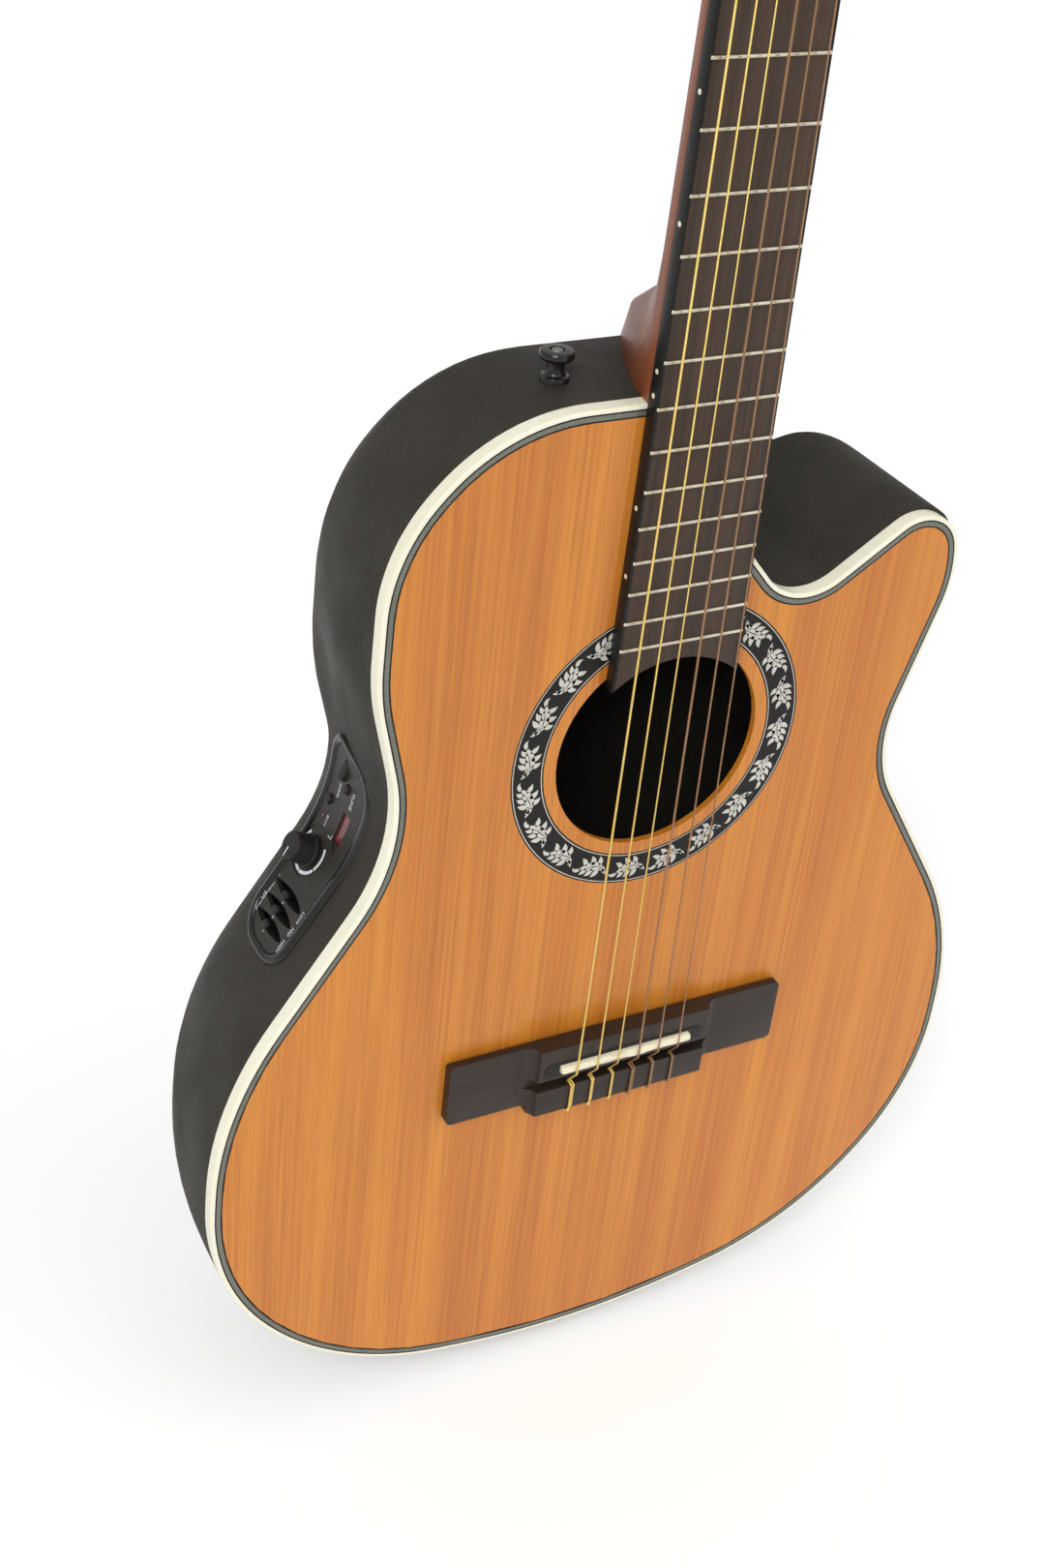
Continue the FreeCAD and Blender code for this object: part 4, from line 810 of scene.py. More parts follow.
@dataclass
class Edging:
    """Body outline with its binding and the three strips of purfling, in millimetres."""

    half: float = 203.0
    length: float = 526.0
    join_z: float = -325.0
    binding_width: float = 2.0
    binding_height: float = 7.0
    binding_round: float = 0.9
    strip_depth: float = 1.5
    strips: tuple = (0.75, 2.0, 0.75)
    corner_shares: tuple = (
        (-0.443, 0.000, 0.419), (-0.675, 0.097, 0.379), (-0.680, 0.217, 0.542), (-0.586, 0.365, 0.443),
        (-0.995, 0.599, 0.813), (-1.005, 0.799, 0.640), (-0.670, 0.958, 0.764), (0.000, 1.000, 1.946),
        (0.670, 0.958, 0.764), (1.005, 0.799, 0.640), (0.995, 0.599, 0.813), (0.611, 0.369, 0.315),
        (0.734, 0.200, 0.305), (0.690, 0.106, 0.108), (0.305, 0.207, 0.138), (0.155, 0.139, 0.099),
        (0.150, 0.000, 0.010),
    )

    def corners(self) -> list[Point]:
        """Rounded corners (x, z, radius) of the body's outline."""
        return [
            (x * self.half, self.join_z - z * self.length, r * self.half) for x, z, r in self.corner_shares
        ]

    def band(self, profile: Sequence[Place]) -> Shape:
        """Ring along the outline through a profile of (inset, y) points."""
        rows = []
        for depth, y in profile:
            outline = rounded_outline(inset(self.corners(), depth) if depth else self.corners(), 14)
            rows.append([(x, y, z) for x, z in outline])
        return rings(rows, closed=True)

    def build(self, palette: Palette) -> None:
        """Makes the binding and the purfling."""
        size = self.binding_round
        rounding = [
            (size - size * math.sin(math.pi * k / 8), size - size * math.cos(math.pi * k / 8))
            for k in range(5)
        ]
        width, height = self.binding_width, self.binding_height
        profile = [(width, 0.0), *rounding, (0.0, height - 0.3), (0.3, height), (width, height)]
        piece("edge_binding", self.band(profile), [palette.ivory], replaces=["binding"], angle=30)
        start = width
        for number, (strip, material) in enumerate(
            zip(self.strips, (palette.black_line, palette.pewter, palette.black_line))
        ):
            end = start + strip
            profile = [(start, 0.0), (start, self.strip_depth), (end, self.strip_depth), (end, 0.0)]
            covered = ["purfling"] if number == 1 else []
            piece(f"purfling_strip_{number + 1}", self.band(profile), [material], replaces=covered)
            start = end


class MotifRing:
    """Geometry nodes that set copies of one motif on a ring about the Y axis."""

    def __init__(self) -> None:
        """Builds the node tree with its named inputs."""
        tree = bpy.data.node_groups.new("Motif ring", "GeometryNodeTree")
        self.tree = tree
        for name, kind in (
            ("Geometry", "NodeSocketGeometry"), ("Count", "NodeSocketInt"), ("Radius", "NodeSocketFloat"),
            ("Phase", "NodeSocketFloat"), ("Centre", "NodeSocketVector"), ("Finish", "NodeSocketMaterial"),
        ):
            tree.interface.new_socket(name, in_out="INPUT", socket_type=kind)
        tree.interface.new_socket("Geometry", in_out="OUTPUT", socket_type="NodeSocketGeometry")
        nodes = Nodes(tree)
        inside = nodes.add("NodeGroupInput").outputs
        outside = nodes.add("NodeGroupOutput")
        index = nodes.add("GeometryNodeInputIndex").outputs[0]
        share = nodes.math("DIVIDE", nodes.math("ADD", index, inside["Phase"]), inside["Count"])
        angle = nodes.math("MULTIPLY", share, 2 * math.pi)
        place = nodes.add(
            "ShaderNodeCombineXYZ",
            {0: nodes.math("MULTIPLY", nodes.math("SINE", angle), inside["Radius"]),
             2: nodes.math("MULTIPLY", nodes.math("COSINE", angle), inside["Radius"])},
        ).outputs[0]
        centred = nodes.add(
            "ShaderNodeVectorMath", {0: place, 1: inside["Centre"]}, operation="ADD",
        ).outputs[0]
        points = nodes.add("GeometryNodePoints", {"Count": inside["Count"], "Position": centred}).outputs[0]
        turn = nodes.add("ShaderNodeCombineXYZ", {1: angle}).outputs[0]
        copies = nodes.add(
            "GeometryNodeInstanceOnPoints", {
                "Points": points, "Instance": inside["Geometry"], "Rotation": turn,
            }
        ).outputs[0]
        real = nodes.add("GeometryNodeRealizeInstances", {0: copies}).outputs[0]
        done = nodes.add(
            "GeometryNodeSetMaterial", {"Geometry": real, "Material": inside["Finish"]},
        ).outputs[0]
        tree.links.new(done, outside.inputs[0])

    def bake(
        self, name: str, motif: Shape, finish: bpy.types.Material, count: int, radius: float, centre: Point,
        phase: float,
    ) -> Shape:
        """Copies a motif round a ring.

        Args:
            name: Name of the passing object.
            motif: One motif, with its outward direction along Z.
            finish: Material of all copies.
            count: Number of copies.
            radius: Radius of the ring in millimetres.
            centre: Centre of the ring in millimetres.
            phase: Shift along the ring, in copies.

        Returns:
            All copies as one shape.
        """
        obj = linked(name, motif.mesh(name, 1.0))
        modifier = obj.modifiers.new("ring", "NODES")
        modifier.node_group = self.tree
        values = {"Count": count, "Radius": radius, "Phase": phase, "Centre": centre, "Finish": finish}
        for item in self.tree.interface.items_tree:
            if item.in_out == "INPUT" and item.name in values:
                modifier[item.identifier] = values[item.name]
        baked = evaluated(obj)
        shape = Shape().add(
            [tuple(v.co) for v in baked.vertices], [tuple(p.vertices) for p in baked.polygons],
        )
        bpy.data.objects.remove(obj)
        return shape


@dataclass
class Rosette:
    """Black ring with silver border lines and a round of scrolled leaves between them."""

    centre_z: float = -489.2
    inner: float = 56.4
    outer: float = 72.2
    depth: float = 1.0
    proud: float = 0.02
    motifs: int = 20
    phase: float = 0.3
    sides: int = 128
    line: float = 0.42
    line_inset: float = 0.75
    let_in: float = 0.3
    lobes: tuple = (
        ((-9.4, 2.6), -1.1, 1.9, 6.5, 0.65), ((-6.0, -1.2), 0.05, 0.55, 13.0, 2.3),
        ((5.4, 1.9), 1.0, -2.0, 5.2, 0.95), ((-4.2, 0.4), 1.45, -0.7, 5.4, 1.25),
        ((-1.0, 0.8), 1.35, -0.7, 5.2, 1.25), ((2.4, 1.4), 1.3, -0.8, 4.4, 1.1),
        ((-3.8, -1.6), -1.5, 0.8, 4.8, 1.25), ((-0.4, -0.9), -1.35, 0.8, 5.4, 1.3),
        ((3.2, 0.2), -1.15, 0.9, 5.2, 1.15),
        ((-5.6, -1.2), 2.6, -1.1, 4.2, 0.9),
    )
    veins: tuple = (
        ((-7.0, -1.2), 0.05, 0.55, 12.5, 0.2), ((-1.4, -0.4), 1.1, -0.4, 3.6, 0.14),
        ((0.2, -0.2), -0.95, 0.4, 3.6, 0.14),
    )

    def ring(self, inner: float, outer: float, front: float, back: float) -> Shape:
        """Flat ring between two radii and two y."""
        rows = []
        for radius, y in ((inner, front), (inner, back), (outer, back), (outer, front)):
            turns = full_turn(self.sides)
            rows.append([(radius * math.cos(a), y, self.centre_z + radius * math.sin(a)) for a in turns])
        return rings(rows, closed=True)

    def lobe(
        self, start: Place, turn: float, bend: float, length: float, width: float, front: float = 0.0,
    ) -> Shape:
        """Lobe of a leaf along a bent line.

        Args:
            start: Where the line begins, along and across the ring.
            turn: Angle of its beginning.
            bend: Turn from its beginning to its end.
            length: Length of the line.
            width: Half of the lobe's width.
            front: Y of its face.

        Returns:
            The lobe, let into the ring.
        """
        left, right = [], []
        x, z = start
        steps = 10
        for k in range(steps + 1):
            angle = turn + bend * k / steps
            reach = width * math.sin(math.pi * min(max(k / steps, 0.02), 0.98) ** 0.8)
            left.append((x - reach * math.sin(angle), z + reach * math.cos(angle)))
            right.append((x + reach * math.sin(angle), z - reach * math.cos(angle)))
            x += length / steps * math.cos(angle)
            z += length / steps * math.sin(angle)
        return prism(left + right[::-1], front, self.let_in)

    def leaf(self) -> Shape:
        """Scrolled leaf with its stem, lobes and tip."""
        shape = Shape()
        for lobe in self.lobes:
            shape.join(self.lobe(*lobe))
        return shape

    def build(self, palette: Palette, maker: MotifRing) -> None:
        """Makes the ring and its inlays."""
        base = self.ring(self.inner, self.outer, self.proud, self.depth)
        piece("rosette_ring", base, [palette.black_line], replaces=["rosette"])
        inlay = Shape()
        for inner in (self.inner + self.line_inset, self.outer - self.line_inset - self.line):
            inlay.join(self.ring(inner, inner + self.line, 0.0, self.let_in))
        middle = (self.inner + self.outer) / 2
        centre = (0.0, 0.0, self.centre_z)
        inlay.join(
            maker.bake(
                "leaf_ring", self.leaf(), palette.silver_inlay, self.motifs, middle, centre, self.phase,
            )
        )
        veins = Shape()
        for vein in self.veins:
            veins.join(self.lobe(*vein, -self.proud))
        lines = maker.bake("vein_ring", veins, palette.black_line, self.motifs, middle, centre, self.phase)
        piece("rosette_veins", lines, [palette.black_line])
        piece("rosette_inlay", inlay, [palette.silver_inlay])


@dataclass
class Strings:
    """Six strings from the tie block to the rollers, with their ties and their turns."""

    radii: tuple = (0.55, 0.46, 0.38, 0.51, 0.41, 0.36)
    at_nut: float = 7.74
    at_saddle: float = 11.16
    nut_floor: float = 7.66
    nut_thickness: float = 5.0
    saddle_z: float = -654.5
    saddle_top: float = 14.66
    saddle_back: float = -657.0
    tie_front: float = -666.5
    tie_back: float = -681.0
    tie_top: float = 11.4
    hole_height: float = 8.2
    loop: float = 1.3
    gap: float = 0.3
    roller_radius: float = 5.0
    roller_y: float = 11.0
    roller_heights: tuple = (56.0, 91.0, 126.0)
    winding_x: tuple = (18.0, 14.5, 14.5)
    winding_width: float = 4.6
    tilt: float = 15.0
    head_start: float = 5.0
    path_sides: int = 14
    turn_steps: int = 18
    most_turns: int = 4

    def tilted(self) -> Matrix:
        """Matrix from the headstock's frame to the guitar's."""
        return Matrix.Translation((0, 0, self.head_start)) @ Matrix.Rotation(math.radians(-self.tilt), 4, "X")

    def roller(self, number: int) -> tuple[int, float, float]:
        """Side, height and winding place of a string's roller in the headstock's frame."""
        side = -1 if number < 3 else 1
        order = number if number < 3 else 5 - number
        return side, self.roller_heights[order], self.winding_x[order]

    def path(self, number: int) -> list[Vector]:
        """Points along one string."""
        radius = self.radii[number]
        x = (number - 2.5) * self.at_saddle
        side, height, winding = self.roller(number)
        top = -self.tie_top - radius - self.gap
        back = self.tie_back - self.loop - radius
        reach = self.roller_radius + self.gap + 3 * radius
        short = math.sqrt(reach ** 2 - (self.roller_radius + radius) ** 2)
        end = self.tilted() @ Vector(
            (side * winding, self.roller_y - self.roller_radius - radius, height - short)
        )
        corners = [
            (x, top, self.tie_front + self.gap), (x, top, back), (x, -self.hole_height, back),
            (x, -self.hole_height, self.tie_front + self.loop / 2),
            (x, -self.saddle_top - radius, self.saddle_back),
            ((number - 2.5) * self.at_nut, -self.nut_floor - radius, self.nut_thickness / 2), end,
        ]
        return spaced(rounded_path(corners, [self.loop] * 4 + [4.0], 12.0), 30.0)

    def tie(self, number: int) -> Shape:
        """Second strand over the tie block, hooked round the string in front and tucked in behind."""
        radius = self.radii[number] * 0.92
        x = (number - 2.5) * self.at_saddle
        apart = 2.1 * self.radii[number]
        front = self.tie_front + 1.1
        top = -self.tie_top - radius - 0.1
        low = -self.hole_height + radius * 2.2
        corners = [
            (x + apart * 0.2, top + 0.15, self.tie_front - 0.6), (x - apart * 0.5, top, front),
            (x - apart * 0.6, -self.hole_height - 0.4, front + 0.5),
            (x + apart * 0.7, -self.hole_height - 0.9, front + 0.3), (x + apart, top, front - 0.6),
            (x + apart, top, self.tie_back + 2.4), (x - apart * 0.9, top - 0.5, self.tie_back - 0.4),
            (x - apart * 1.6, low + 0.6, self.tie_back - 2.0),
        ]
        bends = [min(0.8, radius * 1.8)] * 4 + [1.0, 0.9]
        return tube(spaced(rounded_path(corners, bends, 20.0), 3.0), radius, 10)

    def turns(self, number: int) -> Shape:
        """Turns of the string round its roller, in the guitar's frame."""
        side, height, winding = self.roller(number)
        radius = self.radii[number]
        reach = self.roller_radius + radius
        rounds = min(self.most_turns, int(self.winding_width / (2 * radius + 0.05)))
        path = []
        for k in range(rounds * self.turn_steps + 1):
            angle = 2 * math.pi * k / self.turn_steps
            x = winding - self.winding_width / 2 + radius + 2 * radius * 1.04 * k / self.turn_steps
            path.append((side * x, self.roller_y - reach * math.cos(angle), height - reach * math.sin(angle)))
        return tube([self.tilted() @ Vector(p) for p in path], radius, 8)

    def build(self, palette: Palette) -> None:
        """Makes the strings and ties."""
        for node, numbers, material in (
            ("bass_strings", range(3), palette.wound), ("treble_strings", range(3, 6), palette.nylon),
        ):
            strings, ties = Shape(), Shape()
            for number in numbers:
                strings.join(tube(self.path(number), self.radii[number], self.path_sides))
                ties.join(self.tie(number))
            piece(node + "_round", strings, [material], replaces=[node], angle=60)
            piece(node + "_ties", ties, [material], angle=60)


@dataclass
class Tuners:
    """Rollers with their string turns, gears, threaded worms, buttons, side plates and screws."""

    strings: Strings
    gear_inner: float = 36.5
    gear_width: float = 3.4
    worm_x: float = 38.2
    worm_drop: float = 7.9676
    worm_radius: float = 2.4
    throw: float = 0.45
    pitch: float = 2.4
    worm_half: float = 3.6
    journal: float = 1.5
    roller_start: float = 4.8
    roller_end: float = 33.42
    thread_steps: int = 72
    sides: int = 20
    button_corners: tuple = ((8.5, 3.0, 5.5), (8.5, 15.0, 5.5), (-8.5, 15.0, 5.5), (-8.5, 3.0, 5.5))
    button_half: float = 4.0
    button_round: float = 2.2
    button_start: float = 21.2
    hub: tuple = ((0.4, 0), (3.0, 0), (3.2, 0.3), (3.0, 2.2), (3.2, 3.4), (0.4, 3.4))

    def along_x(self, side: int, start: float, height: float) -> Matrix:
        """Matrix that lays a lathe form along a roller's axis, outward from a start."""
        turn = Matrix.Rotation(math.radians(90 * side), 4, "Y")
        place = Matrix.Translation((side * start, self.strings.roller_y, height))
        return self.strings.tilted() @ place @ turn

    def roller(self, number: int) -> Shape:
        """Roller with rounded ends and its steel shaft."""
        side, height, _ = self.strings.roller(number)
        length = self.roller_end - self.roller_start
        radius = self.strings.roller_radius
        body = lathe(
            [
                (0.8, 0), (radius - 0.5, 0), (radius - 0.1, 0.2), (radius, 0.6), (radius, length - 0.5),
                (radius - 0.5, length), (0.8, length),
            ],
            40,
        )
        shaft_length = self.gear_inner + self.gear_width - self.roller_end
        shaft = lathe(
            [(0.3, 0), (2.5, 0), (2.5, shaft_length - 0.4), (2.1, shaft_length), (0.3, shaft_length)], 32,
        )
        shape = Shape().join(body.moved(self.along_x(side, self.roller_start, height)), 0)
        return shape.join(shaft.moved(self.along_x(side, self.roller_end, height)), 1)

    def worm(self, number: int) -> Shape:
        """Worm with a helical thread and its shaft."""
        side, height, _ = self.strings.roller(number)
        turns = full_turn(self.sides)
        rows = []
        for step in range(self.thread_steps + 1):
            y = -self.worm_half + 2 * self.worm_half * step / self.thread_steps
            radii = [
                self.worm_radius + self.throw * 0.98 * math.cos(a + 2 * math.pi * y / self.pitch)
                for a in turns
            ]
            rows.append([(radius * math.sin(a), y, radius * math.cos(a)) for a, radius in zip(turns, radii)])
        low, high = -5.5, 20.0 + 1.4 - self.strings.roller_y
        shaft = [
            [(self.journal * math.cos(a), y, self.journal * math.sin(a)) for a in turns] for y in (low, high)
        ]
        shape = rings(rows).join(rings(shaft))
        place = Matrix.Translation((side * self.worm_x, self.strings.roller_y, height - self.worm_drop))
        mirror = Matrix.Scale(side, 4, (1, 0, 0))
        return shape.moved(self.strings.tilted() @ place @ mirror)

    def button(self, number: int) -> Shape:
        """Flat oval button with softly rounded edges on its hub."""
        side, height, _ = self.strings.roller(number)
        corners = self.button_corners
        rows = []
        for step in range(9):
            angle = math.pi * step / 8
            depth = self.button_round * (1 - math.sin(angle))
            outline = rounded_outline(inset(corners, depth) if depth > 0.01 else corners, 8)
            rows.append(
                [
                    (x, z, self.button_half * -math.cos(angle) * (1 - 0.05 * math.sin(angle)))
                    for x, z in outline
                ]
            )
        shape = rings(rows)
        shape.join(lathe(self.hub, 28).moved(Matrix.Rotation(math.radians(-90), 4, "X")))
        place = Matrix.Translation((side * self.worm_x, self.button_start, height - self.worm_drop))
        return shape.moved(self.strings.tilted() @ place)

    def build(self, palette: Palette) -> None:
        """Makes the six tuning machines."""
        for number in range(6):
            name = str(number + 1)
            roller_body, key_body = f"roller_{name}", f"key_{name}"
            piece(
                f"roller_{name}_round", self.roller(number), [palette.roller, palette.steel], roller_body,
                [f"tuner_roller_{name}"],
            )
            string = palette.wound if number < 3 else palette.nylon
            piece(f"roller_{name}_turns", self.strings.turns(number), [string], roller_body, angle=60)
            piece(
                f"worm_{name}_thread", self.worm(number), [palette.brass], key_body, [f"tuner_worm_{name}"],
                angle=60,
            )
            piece(
                f"button_{name}_round", self.button(number), [palette.pearl], key_body,
                [f"tuner_button_{name}"], angle=60,
            )
            refined(f"tuner_gear_{name}", [palette.brass], 0.12, 1)
        refined("tuner_plates", [palette.brass], 0.2, 2)
        refined("tuner_screws", [palette.brass], 0.25, 2)


@dataclass
class Preamp:
    """Preamplifier with rim, panel, leaf-shaped slots, sliders, knob, window, buttons and print.

    Its own frame has u up the body, v towards the back and n outward, in millimetres.
    """

    origin: Point = (-138.3, 42.5, -547.7)
    turn: float = 30.2
    lean: float = 2.0
    half_length: float = 54.0
    half_width: float = 22.5
    panel_rise: float = 1.2
    rim: float = 4.0
    flare: float = 2.2
    slots: tuple = (-21.5, -29.5, -37.5)
    slot_shift: float = 5.0
    corner_shares: tuple = (
        (-0.930, -0.72, 0.60), (0.900, -0.84, 0.75), (1.050, 1.05, 0.45), (-0.930, 1.10, 0.85),
    )
    buttons: tuple = ((35.9, 2.9), (24.6, 15.1))
    release: tuple = (42.0, 8.0)
    knob: tuple = (0.2, 9.5)
    window: tuple = (19.5, -2.7)
    light: tuple = (16.2, 15.2)
    room: tuple = (-6.0, 2.0)
    ink: tuple = (-0.02, 0.05)
    rim_profile: tuple = (
        (0.0, -7.0), (0.0, 0.6), (0.25, 1.5), (0.9, 2.2), (1.9, 2.5), (2.8, 2.3), (3.5, 1.7), (3.9, 0.9),
        (4.0, -3.0),
    )
    cap_profile: tuple = (
        (0.5, -7.0), (0.55, -6.9), (0.55, 0.1), (1.75, 0.12), (1.85, 1.2), (1.7, 1.8), (1.3, 2.1), (0.6, 2.2),
    )
    knob_profile: tuple = (
        (0.5, 0), (7.7, 0), (8.0, 0.3), (7.85, 1.6), (7.2, 2.0), (6.75, 9.8), (6.6, 10.4), (6.2, 10.75),
        (5.6, 10.85),
        (0.5, 10.7),
    )
    knob_shaft: tuple = ((0.3, -9.9), (3.0, -9.9), (3.0, 0.2), (0.3, 0.2))
    pointer: tuple = ((-5.9, -0.35), (-1.2, -0.35), (-1.2, 0.35), (-5.9, 0.35))
    words: tuple = (
        ("EQ", (-31.5, 20.4), 2.2), ("LOW", (-22.4, -11.6), 1.9), ("MID", (-30.2, -11.6), 1.9),
        ("HIGH", (-38.2, -11.4), 1.9), ("TUNE", (33.6, -3.2), 2.2), ("BATT", (15.6, 11.4), 1.6),
        ("SHAPE", (31.6, 10.2), 1.7),
    )

    def matrix(self) -> Matrix:
        """Matrix from the preamplifier's frame to the guitar's."""
        turn, lean = math.radians(self.turn), math.radians(self.lean)
        out = Vector((-math.cos(lean) * math.cos(turn), math.sin(lean), math.cos(lean) * math.sin(turn)))
        up = Vector((math.sin(turn), 0, math.cos(turn)))
        return Matrix.Translation(self.origin) @ Matrix((up, out.cross(up), out)).transposed().to_4x4()

    def height(self, u: float) -> float:
        """Height of the bowl's curve at a place up the body."""
        if u < 4.0:
            return 3.4 * (4.0 - u) / 58.0
        radius = (56.0 ** 2 + 18.9 ** 2) / (2 * 18.9)
        return radius - math.sqrt(radius ** 2 - (u - 4.0) ** 2)

    def on_panel(self, shape: Shape, base: float = 0.0) -> Shape:
        """Shape in u, v and height over the panel, moved onto the panel's curve and into place."""
        matrix = self.matrix()
        points = [
            matrix @ Vector((u, v, n + self.height(u) + base + self.panel_rise)) for u, v, n in shape.points
        ]
        return Shape([tuple(p) for p in points], shape.faces, shape.slots, shape.uvs)

    def outline(self, depth: float) -> list[Place]:
        """Points (u, v) of the preamplifier's outline, drawn in by a depth."""
        corners = [
            (u * self.half_length, v * self.half_width, r * self.half_width) for u, v, r in self.corner_shares
        ]
        return rounded_outline(inset(corners, depth), 12)

    def make_rim(self) -> Shape:
        """Raised rim with a round back."""
        rows = []
        for depth, rise in self.rim_profile:
            outline = subdivided(self.outline(max(depth, 0.01)), 3.0)
            out = self.flare * (1 - depth / self.rim) ** 0.7
            lean = [min(max((4.0 - v) / 14.0, 0.0), 1.0) for _, v in outline]
            rows.append([(u, v - out * side, rise - self.panel_rise) for (u, v), side in zip(outline, lean)])
        count = min(len(row) for row in rows)
        rows = [resampled(row, count) for row in rows]
        return self.on_panel(rings(rows, closed=True))

    def make_panel(self) -> Shape:
        """Panel blank as sections across it."""
        outline = self.outline(self.rim + 0.05)
        low, high = min(u for u, _ in outline), max(u for u, _ in outline)
        rows = []
        for step in range(61):
            u = low + 0.02 + (high - low - 0.04) * (0.5 - 0.5 * math.cos(math.pi * step / 60))
            crossings = []
            for (u0, v0), (u1, v1) in zip(outline, outline[1:] + outline[:1]):
                if (u0 - u) * (u1 - u) < 0:
                    crossings.append(v0 + (v1 - v0) * (u - u0) / (u1 - u0))
            left, right = min(crossings), max(crossings)
            across = [left + (right - left) * k / 12 for k in range(13)]
            rows.append([(u, v, 0.0) for v in across] + [(u, v, -3.0) for v in reversed(across)])
        return self.on_panel(rings(rows))

    def leaf(self, u: float) -> Shape:
        """Room of a leaf-shaped slot, slanted like the real ones."""
        side = []
        for k in range(15):
            share = k / 14
            side.append((share * 30.0 - 15.0, 3.3 * math.sin(math.pi * share ** 0.85) ** 0.75))
        points = [(u + w, self.slot_shift + v) for v, w in side] + [
            (u - w * 0.75, self.slot_shift + v) for v, w in reversed(side[1:-1])
        ]
        return self.block(points, *self.room)

    def block(self, outline: Sequence[Place], low: float, high: float) -> Shape:
        """Block over an outline in u and v, between two heights about the panel."""
        return self.on_panel(rings([[(u, v, low) for u, v in outline], [(u, v, high) for u, v in outline]]))

    def disc(
        self, place: Place, radius: float, low: float, high: float, stretch: float = 1.0, sides: int = 24,
    ) -> Shape:
        """Round or oval block at a place of the panel."""
        u, v = place
        outline = [(u + stretch * radius * math.cos(a), v + radius * math.sin(a)) for a in full_turn(sides)]
        return self.block(outline, low, high)

    def box(self, u: float, v: float, length: float, width: float, low: float, high: float) -> Shape:
        """Straight block from a corner of the panel."""
        return self.block([(u, v), (u + length, v), (u + length, v + width), (u, v + width)], low, high)

    def print_marks(self) -> Shape:
        """Printed arc, dashes, dots and bracket on the panel."""
        marks = Shape()
        for start, end in ((-128, -62), (-58, 0), (4, 62), (66, 128)):
            inner, outer = [], []
            for k in range(13):
                a = math.radians(start + (end - start) * k / 12)
                inner.append((self.knob[0] - 9.3 * math.cos(a), self.knob[1] - 9.3 * math.sin(a)))
                outer.append((self.knob[0] - 10.8 * math.cos(a), self.knob[1] - 10.8 * math.sin(a)))
            marks.join(self.block(inner + outer[::-1], *self.ink))
        boxes = [(-38.5, 18.6, 14.0, 0.3), (-38.5, 17.7, 0.3, 0.9), (-24.8, 17.7, 0.3, 0.9)]
        boxes += [(u + 3.2, self.slot_shift - 0.2, 1.4, 0.4) for u in self.slots[1:]]
        boxes += [(-41.8, self.slot_shift - 0.2, 0.8, 0.4), (11.7, 1.6, 0.35, 3.4), (11.7, 1.6, 2.2, 0.35)]
        for box in boxes:
            marks.join(self.box(*box, *self.ink))
        for u in self.slots:
            for shift in (-2.1, 2.3):
                marks.join(self.disc((u + shift, self.slot_shift + 13.6), 0.3, *self.ink, sides=10))
        return marks

    def word(self, text: str, place: Place, size: float) -> Shape:
        """Printed word, which reads down the body.

        Args:
            text: The word.
            place: Its centre in u and v.
            size: Height of its letters.

        Returns:
            The word on the panel.
        """
        curve = bpy.data.curves.new(text, "FONT")
        curve.body = text
        curve.size = size / 0.7
        curve.align_x, curve.align_y = "CENTER", "CENTER"
        curve.extrude = 0.03
        curve.resolution_u = 2
        obj = linked(text, curve)
        mesh = evaluated(obj)
        points = [(place[0] - v.co.x, place[1] - v.co.y, v.co.z) for v in mesh.vertices]
        shape = Shape().add(points, [tuple(p.vertices) for p in mesh.polygons])
        bpy.data.objects.remove(obj)
        return self.on_panel(shape, 0.02)

    def build(self, palette: Palette) -> None:
        """Makes the preamplifier's pieces."""
        piece("rim_round", self.make_rim(), [palette.black_gloss], replaces=["preamp_rim"], angle=50)
        panel = piece(
            "panel_with_slots", self.make_panel(), [palette.panel], replaces=["preamp_panel"], angle=30,
        )
        rooms = Shape()
        for u in self.slots:
            rooms.join(self.leaf(u))
        for place in self.buttons:
            rooms.join(self.disc(place, 2.5, *self.room))
        rooms.join(self.disc(self.release, 2.9, *self.room, 1.75))
        u, v = self.window
        rooms.join(self.box(u - 7, v - 3.6, 14.0, 7.2, *self.room))
        carve(panel, rooms)
        dish = Shape().join(self.disc(self.knob, 12.4, -0.45, 2.0, sides=48))
        dish.join(self.block([(u - 7.2, v - 3.0), (u - 7.2, v + 3.2), (u - 12.5, v - 2.2)], -1.1, 2.0))
        carve(panel, dish)
        piece("panel_print", self.print_marks(), [palette.white_print])
        words = Shape()
        for text, place, size in self.words:
            words.join(self.word(text, place, size))
        piece("panel_words", words, [palette.white_print])
        self.build_controls(palette)

    def build_controls(self, palette: Palette) -> None:
        """Makes the sliders, knob, window, buttons and light."""
        for name, u in zip(("low", "middle", "high"), self.slots):
            rows = []
            for radius, n in self.cap_profile:
                across = [(math.cos(a), math.sin(a)) for a in full_turn(24)]
                rows.append([(u + radius * x, self.slot_shift + radius * 1.3 * y, n) for x, y in across])
            piece(
                f"slider_{name}_cap", self.on_panel(rings(rows)), [palette.black_satin], f"fader_{name}",
                [f"slider_{name}"], 50,
            )
        base = self.height(self.knob[0]) + self.panel_rise + 0.9
        place = self.matrix() @ Matrix.Translation((*self.knob, base))
        mark = Shape().add(*plate(self.pointer, 10.6, 10.95), slot=1)
        knob = Shape().join(lathe(self.knob_profile, 64)).join(lathe(self.knob_shaft, 24))
        knob = knob.join(mark).moved(place)
        finishes = [palette.black_satin, palette.white_print]
        piece("volume_knob_round", knob, finishes, "volume", ["volume_knob"], 35)
        refined("tuner_window", [palette.red_window], 0.15, 1)
        for node in ("tuner_button", "shape_button", "battery_release"):
            refined(node, [palette.black_satin], 0.4, 3)
        piece("battery_light", self.disc(self.light, 0.8, -0.3, 0.25, sides=20), [palette.red_window])


